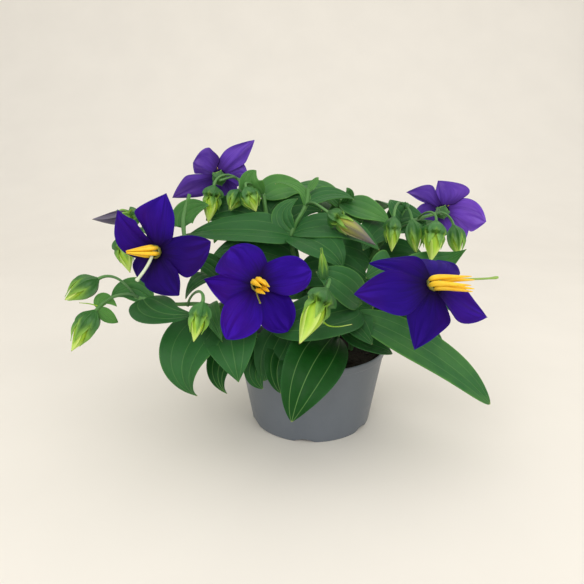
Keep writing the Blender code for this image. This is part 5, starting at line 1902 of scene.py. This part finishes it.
@dataclass
class Pot:
    """The thin tapered pot with its rim band, notched foot and drain holes."""

    finishes: Finishes
    rim_radius: float = 52.5
    height: float = 55.8
    base_radius: float = 42.9
    wall: float = 1.2
    rim_band: float = 5.0
    rim_step: float = 0.9
    foot_width: float = 3.4
    floor_lift: float = 2.4
    pad_radius: float = 26.0
    notches: int = 6
    notch_radius: float = 12.0
    notch_height: float = 2.4
    notch_turn: float = 22.5
    drain_radius: float = 4.0
    drain_circle: float = 33.0
    drain_span: tuple[float, float] = (1.0, 6.0)
    drain_sides: int = 40
    sides: int = 240
    sharp: float = 40.0

    def wall_radius(self, height: float) -> float:
        """Outer radius of the plain wall at a height."""
        top = self.rim_radius - self.rim_step
        return self.base_radius + (top - self.base_radius) * height / (self.height - self.rim_band)

    def lift(self, angle: float) -> float:
        """Finds how high the foot is cut away.

        Args:
            angle: the angle round the pot.

        Returns:
            The height of the cut there, which is 0 between the notches.
        """
        step = math.tau / self.notches
        away = (angle - math.radians(self.notch_turn) + step / 2) % step - step / 2
        reach = self.base_radius * math.sin(away)
        inside = self.notch_radius ** 2 - reach ** 2
        if inside <= 0:
            return 0.0
        return max(0.0, math.sqrt(inside) - (self.notch_radius - self.notch_height))

    def profile(self) -> list[tuple[float, float]]:
        """Lays out the section of the pot.

        Returns:
            Its closed line, as pairs of radius and height.
        """
        band = self.height - self.rim_band
        foot = self.base_radius - self.foot_width
        rim, lift = self.rim_radius, self.floor_lift
        wall = [(self.wall_radius(h), h) for h in np.linspace(1.2, band - 0.5, 9)]
        inner = [(self.wall_radius(h) - self.wall, h) for h in np.linspace(band - 1.2, lift + 3.0, 8)]
        return [
            (0.0, 0.0), (self.pad_radius - 0.3, 0.0), (self.pad_radius + 0.1, 0.25),
            (self.pad_radius + 1.4, lift - 0.3), (self.pad_radius + 1.9, lift),
            (foot - 0.3, lift), (foot, lift - 0.3), (foot + 0.35, 0.35), (foot + 0.7, 0.0),
            (self.base_radius - 0.7, 0.0), (self.base_radius - 0.2, 0.2), (self.base_radius, 0.6),
            *wall, (self.wall_radius(band), band), (rim - 0.45, band + 0.25), (rim - 0.15, band + 0.7),
            (rim, self.height - 0.9), (rim - 0.15, self.height - 0.3), (rim - 0.5, self.height),
            (rim - 0.9, self.height - 0.1), (rim - self.wall, self.height - 0.5),
            (rim - self.wall - 0.2, band), (self.wall_radius(band) - self.wall, band - 0.6), *inner,
            (self.wall_radius(lift + self.wall) - self.wall - 1.6, lift + self.wall),
            (self.pad_radius + 0.6, lift + self.wall), (self.pad_radius - 0.8, self.wall),
            (0.0, self.wall)]

    def build(self) -> None:
        """Builds the pot."""
        profile = self.profile()
        rings = turned(profile, self.sides)
        lifts = [self.lift(math.tau * k / self.sides) for k in range(self.sides)]
        for ring, (radius, height) in zip(rings, profile):
            if radius > self.base_radius - self.foot_width - 0.1:
                ring[:, 2] = np.maximum(height, lifts)
        pile = Pile()
        pile.rings(rings, capped=False)
        self.drill(pile.piece("nursery_pot", (self.finishes.pot,), ["pot"], self.sharp))

    def drill(self, pot: bpy.types.Object) -> None:
        """Cuts a drain hole inside each notch, through the raised ring of the floor.

        Args:
            pot: the pot.
        """
        drills = Pile()
        drill = turned([(self.drain_radius, height) for height in self.drain_span], self.drain_sides)
        for i in range(self.notches):
            turn = math.radians(self.notch_turn) + math.tau * i / self.notches
            drills.rings(drill + self.drain_circle * np.array((math.cos(turn), math.sin(turn), 0.0)))
        mesh = bpy.data.meshes.new("drain_drills")
        mesh.from_pydata((np.concatenate(drills.verts) * MM).tolist(), [], drills.faces)
        tool = bpy.data.objects.new("drain_drills", mesh)
        bpy.context.scene.collection.objects.link(tool)
        modifier = pot.modifiers.new("drains", "BOOLEAN")
        modifier.operation = "DIFFERENCE"
        modifier.solver = "EXACT"
        modifier.object = tool
        depsgraph = bpy.context.evaluated_depsgraph_get()
        drilled = bpy.data.meshes.new_from_object(pot.evaluated_get(depsgraph))
        pot.modifiers.clear()
        pot.data = drilled
        pot.data.set_sharp_from_angle(angle=math.radians(self.sharp))
        bpy.data.objects.remove(tool, do_unlink=True)


@dataclass
class SoilBed:
    """The growing medium: a lumpy top with crumbs, over a plain body that fills the pot.

    Its top swells by the crown within the crown radius. The shares are those of its radius at
    which the top has a ring, and the crumb is a section, as shares of a crumb's size.
    """

    pot: Pot
    finishes: Finishes
    top: float = 51.0
    crown: float = 2.0
    crown_radius: float = 46.0
    lumps: float = 1.3
    sides: int = 96
    seed: int = 11
    crumbs: int = 420
    gap: float = 0.3
    clearance: float = 0.7
    crumb_sides: int = 7
    crumb: Table = ((0.3, -0.9), (0.9, -0.4), (1.0, 0.2), (0.7, 0.7), (0.2, 0.95))
    shares: tuple[float, ...] = (0.0, 0.12, 0.25, 0.38, 0.5, 0.62, 0.74, 0.85, 0.94, 1.0)
    sharp: float = 80.0

    def height_at(self, x: float, y: float) -> float:
        """Finds the height of the lumpy top.

        Args:
            x: the place to the right of the pot's axis.
            y: the place behind it.

        Returns:
            The height there.
        """
        swell = self.crown * max(0.0, 1 - (math.hypot(x, y) / self.crown_radius) ** 2)
        lump = (math.sin(0.31 * x + 1.3) * math.sin(0.27 * y + 0.4)
                + 0.5 * math.sin(0.83 * x - 0.6) * math.sin(0.77 * y + 2.1))
        return self.top + swell + self.lumps * 0.45 * lump - 0.6

    def build(self) -> None:
        """Builds the soil."""
        pot = self.pot

        def inside(height: float) -> float:
            """The radius of the soil at a height."""
            return pot.wall_radius(height) - pot.wall - self.clearance

        radius, pad = inside(self.top), pot.wall + self.gap
        floor = pot.floor_lift + pad
        section = [(radius * share, self.top) for share in self.shares]
        section += [(inside(height), height) for height in (self.top - 1.5, 30.0, floor + 2.0)]
        section += [(pot.base_radius - 4.0, floor), (pot.pad_radius, floor), (pot.pad_radius - 1.5, pad),
                    (0.0, pad)]
        rings = turned(section, self.sides)
        for ring in rings[:len(self.shares)]:
            ring[:, 2] = [self.height_at(x, y) for x, y, _ in ring]
        pile = Pile()
        pile.rings(rings, capped=False)
        self.scatter(pile, radius)
        pile.piece("growing_medium", (self.finishes.soil,), ["soil"], self.sharp)

    def scatter(self, pile: Pile, radius: float) -> None:
        """Adds uneven crumbs, sunk into the top.

        Args:
            pile: what they are added to.
            radius: the radius of the soil.
        """
        chance = np.random.default_rng(self.seed)
        for _ in range(self.crumbs):
            distance, angle = radius * 0.96 * math.sqrt(chance.random()), chance.uniform(0, 6.283)
            x, y = distance * math.cos(angle), distance * math.sin(angle)
            size = chance.uniform(0.5, 1.5)
            centre = np.array((x, y, self.height_at(x, y)))
            rings = turned([(size * share, size * lift * 0.6) for share, lift in self.crumb],
                           self.crumb_sides)
            rings[:, :, :2] *= chance.uniform(0.75, 1.2, (len(self.crumb), self.crumb_sides, 1))
            pile.rings(rings + centre)


@dataclass(frozen=True)
class Lamp:
    """A square soft light: where it is, what it points at, its side, power and colour.

    Places and its side are in metres, its power in watts.
    """

    name: str
    place: Point
    aim: Point
    size: float
    power: float
    colour: Colour

    def hang(self) -> None:
        """Adds it to the scene."""
        lamp = bpy.data.lights.new(self.name, "AREA")
        lamp.shape = "SQUARE"
        lamp.size = self.size
        lamp.energy = self.power
        lamp.color = self.colour
        holder = bpy.data.objects.new(self.name, lamp)
        holder.location = self.place
        way = Vector(self.aim) - Vector(self.place)
        holder.rotation_euler = way.to_track_quat("-Z", "Y").to_euler()
        bpy.context.scene.collection.objects.link(holder)


@dataclass
class Studio:
    """Camera, floor, backdrop and soft lights.

    The eye is in millimetres. The floor runs from its front edge to the back one, both in
    metres, where it curves up into a backdrop.
    """

    eye: Point = (-13.8, -340.0, 184.0)
    pitch: float = 15.0
    sensor: float = 36.0
    focal_px: float = 500.0
    image_px: float = 584.0
    room: Colour = (1.0, 0.985, 0.96)
    room_strength: float = 0.67
    lamps: tuple[Lamp, ...] = (
        Lamp("softbox_overhead", (0.1, 0.35, 2.0), (0.0, 0.35, 0.0), 3.0, 20.0, (1.0, 0.985, 0.96)),
        Lamp("fill_right", (0.95, -0.85, 0.8), (0.0, 0.0, 0.1), 0.8, 6.0, (1.0, 0.97, 0.94)),
        Lamp("fill_front", (-0.45, -1.2, 0.75), (0.0, 0.0, 0.1), 0.9, 7.0, (1.0, 0.99, 0.98)))
    half_width: float = 4.0
    front: float = -2.0
    back: float = 1.6
    curve: float = 1.0
    height: float = 3.0

    def build(self) -> None:
        """Sets up everything that isn't part of the plant."""
        scene = bpy.context.scene
        camera = bpy.data.cameras.new("photo_camera")
        camera.sensor_width = self.sensor
        camera.lens = self.focal_px / self.image_px * self.sensor
        camera.clip_start = 0.01
        holder = bpy.data.objects.new("photo_camera", camera)
        holder.location = Vector(self.eye) * MM
        holder.rotation_euler = (math.radians(90.0 - self.pitch), 0.0, 0.0)
        scene.collection.objects.link(holder)
        scene.camera = holder
        scene.view_settings.view_transform = "Standard"
        self.sweep()
        for lamp in self.lamps:
            lamp.hang()
        world = bpy.data.worlds.new("soft_room")
        world.use_nodes = True
        background = world.node_tree.nodes["Background"]
        background.inputs["Color"].default_value = (*self.room, 1.0)
        background.inputs["Strength"].default_value = self.room_strength
        scene.world = world

    def sweep(self) -> None:
        """Adds the floor, curved up into a backdrop."""
        start = self.back - self.curve
        line = [(self.front, 0.0), (start, 0.0)]
        line += [(start + self.curve * math.sin(a), self.curve - self.curve * math.cos(a))
                 for a in np.linspace(0.1, math.pi / 2, 16)]
        line.append((self.back, self.height))
        verts = [(x, y, z) for y, z in line for x in (-self.half_width, self.half_width)]
        faces = [(2 * i, 2 * i + 1, 2 * i + 3, 2 * i + 2) for i in range(len(line) - 1)]
        mesh = bpy.data.meshes.new("floor_sweep")
        mesh.from_pydata(verts, [], faces)
        mesh.shade_smooth()
        mesh.materials.append(FloorFinish().material())
        floor = bpy.data.objects.new("floor_sweep", mesh)
        bpy.context.scene.collection.objects.link(floor)


def grow(shoot: Shoot, number: int, finishes: Finishes) -> None:
    """Builds everything on one shoot.

    Args:
        shoot: its layout.
        number: its place in the plant, which seeds its chance.
        finishes: the plant's finishes.
    """
    Stalks(shoot, finishes).build()
    Foliage(shoot, finishes, 100 + number).build()
    Calyx(shoot, finishes).build()
    for bloom in shoot.blooms:
        Flower(bloom, finishes, 200 + number).build()
    for i, bud in enumerate(shoot.buds):
        name = shoot.name.replace("stem", "bud") + f"_{i + 1}"
        FurledBud(name, bud, finishes).build()


def main() -> None:
    """Builds the whole scene and reports each piece."""
    logging.basicConfig(level=logging.INFO, format="%(name)s %(message)s")
    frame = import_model()
    finishes = Finishes()
    pot = Pot(finishes)
    pot.build()
    SoilBed(pot, finishes).build()
    for number, shoot in enumerate(SHOOTS):
        grow(shoot, number, finishes)
    Studio().build()
    log.info("dressed the part's %d nodes", len(frame["nodes"]))


if __name__ == "__main__":
    main()
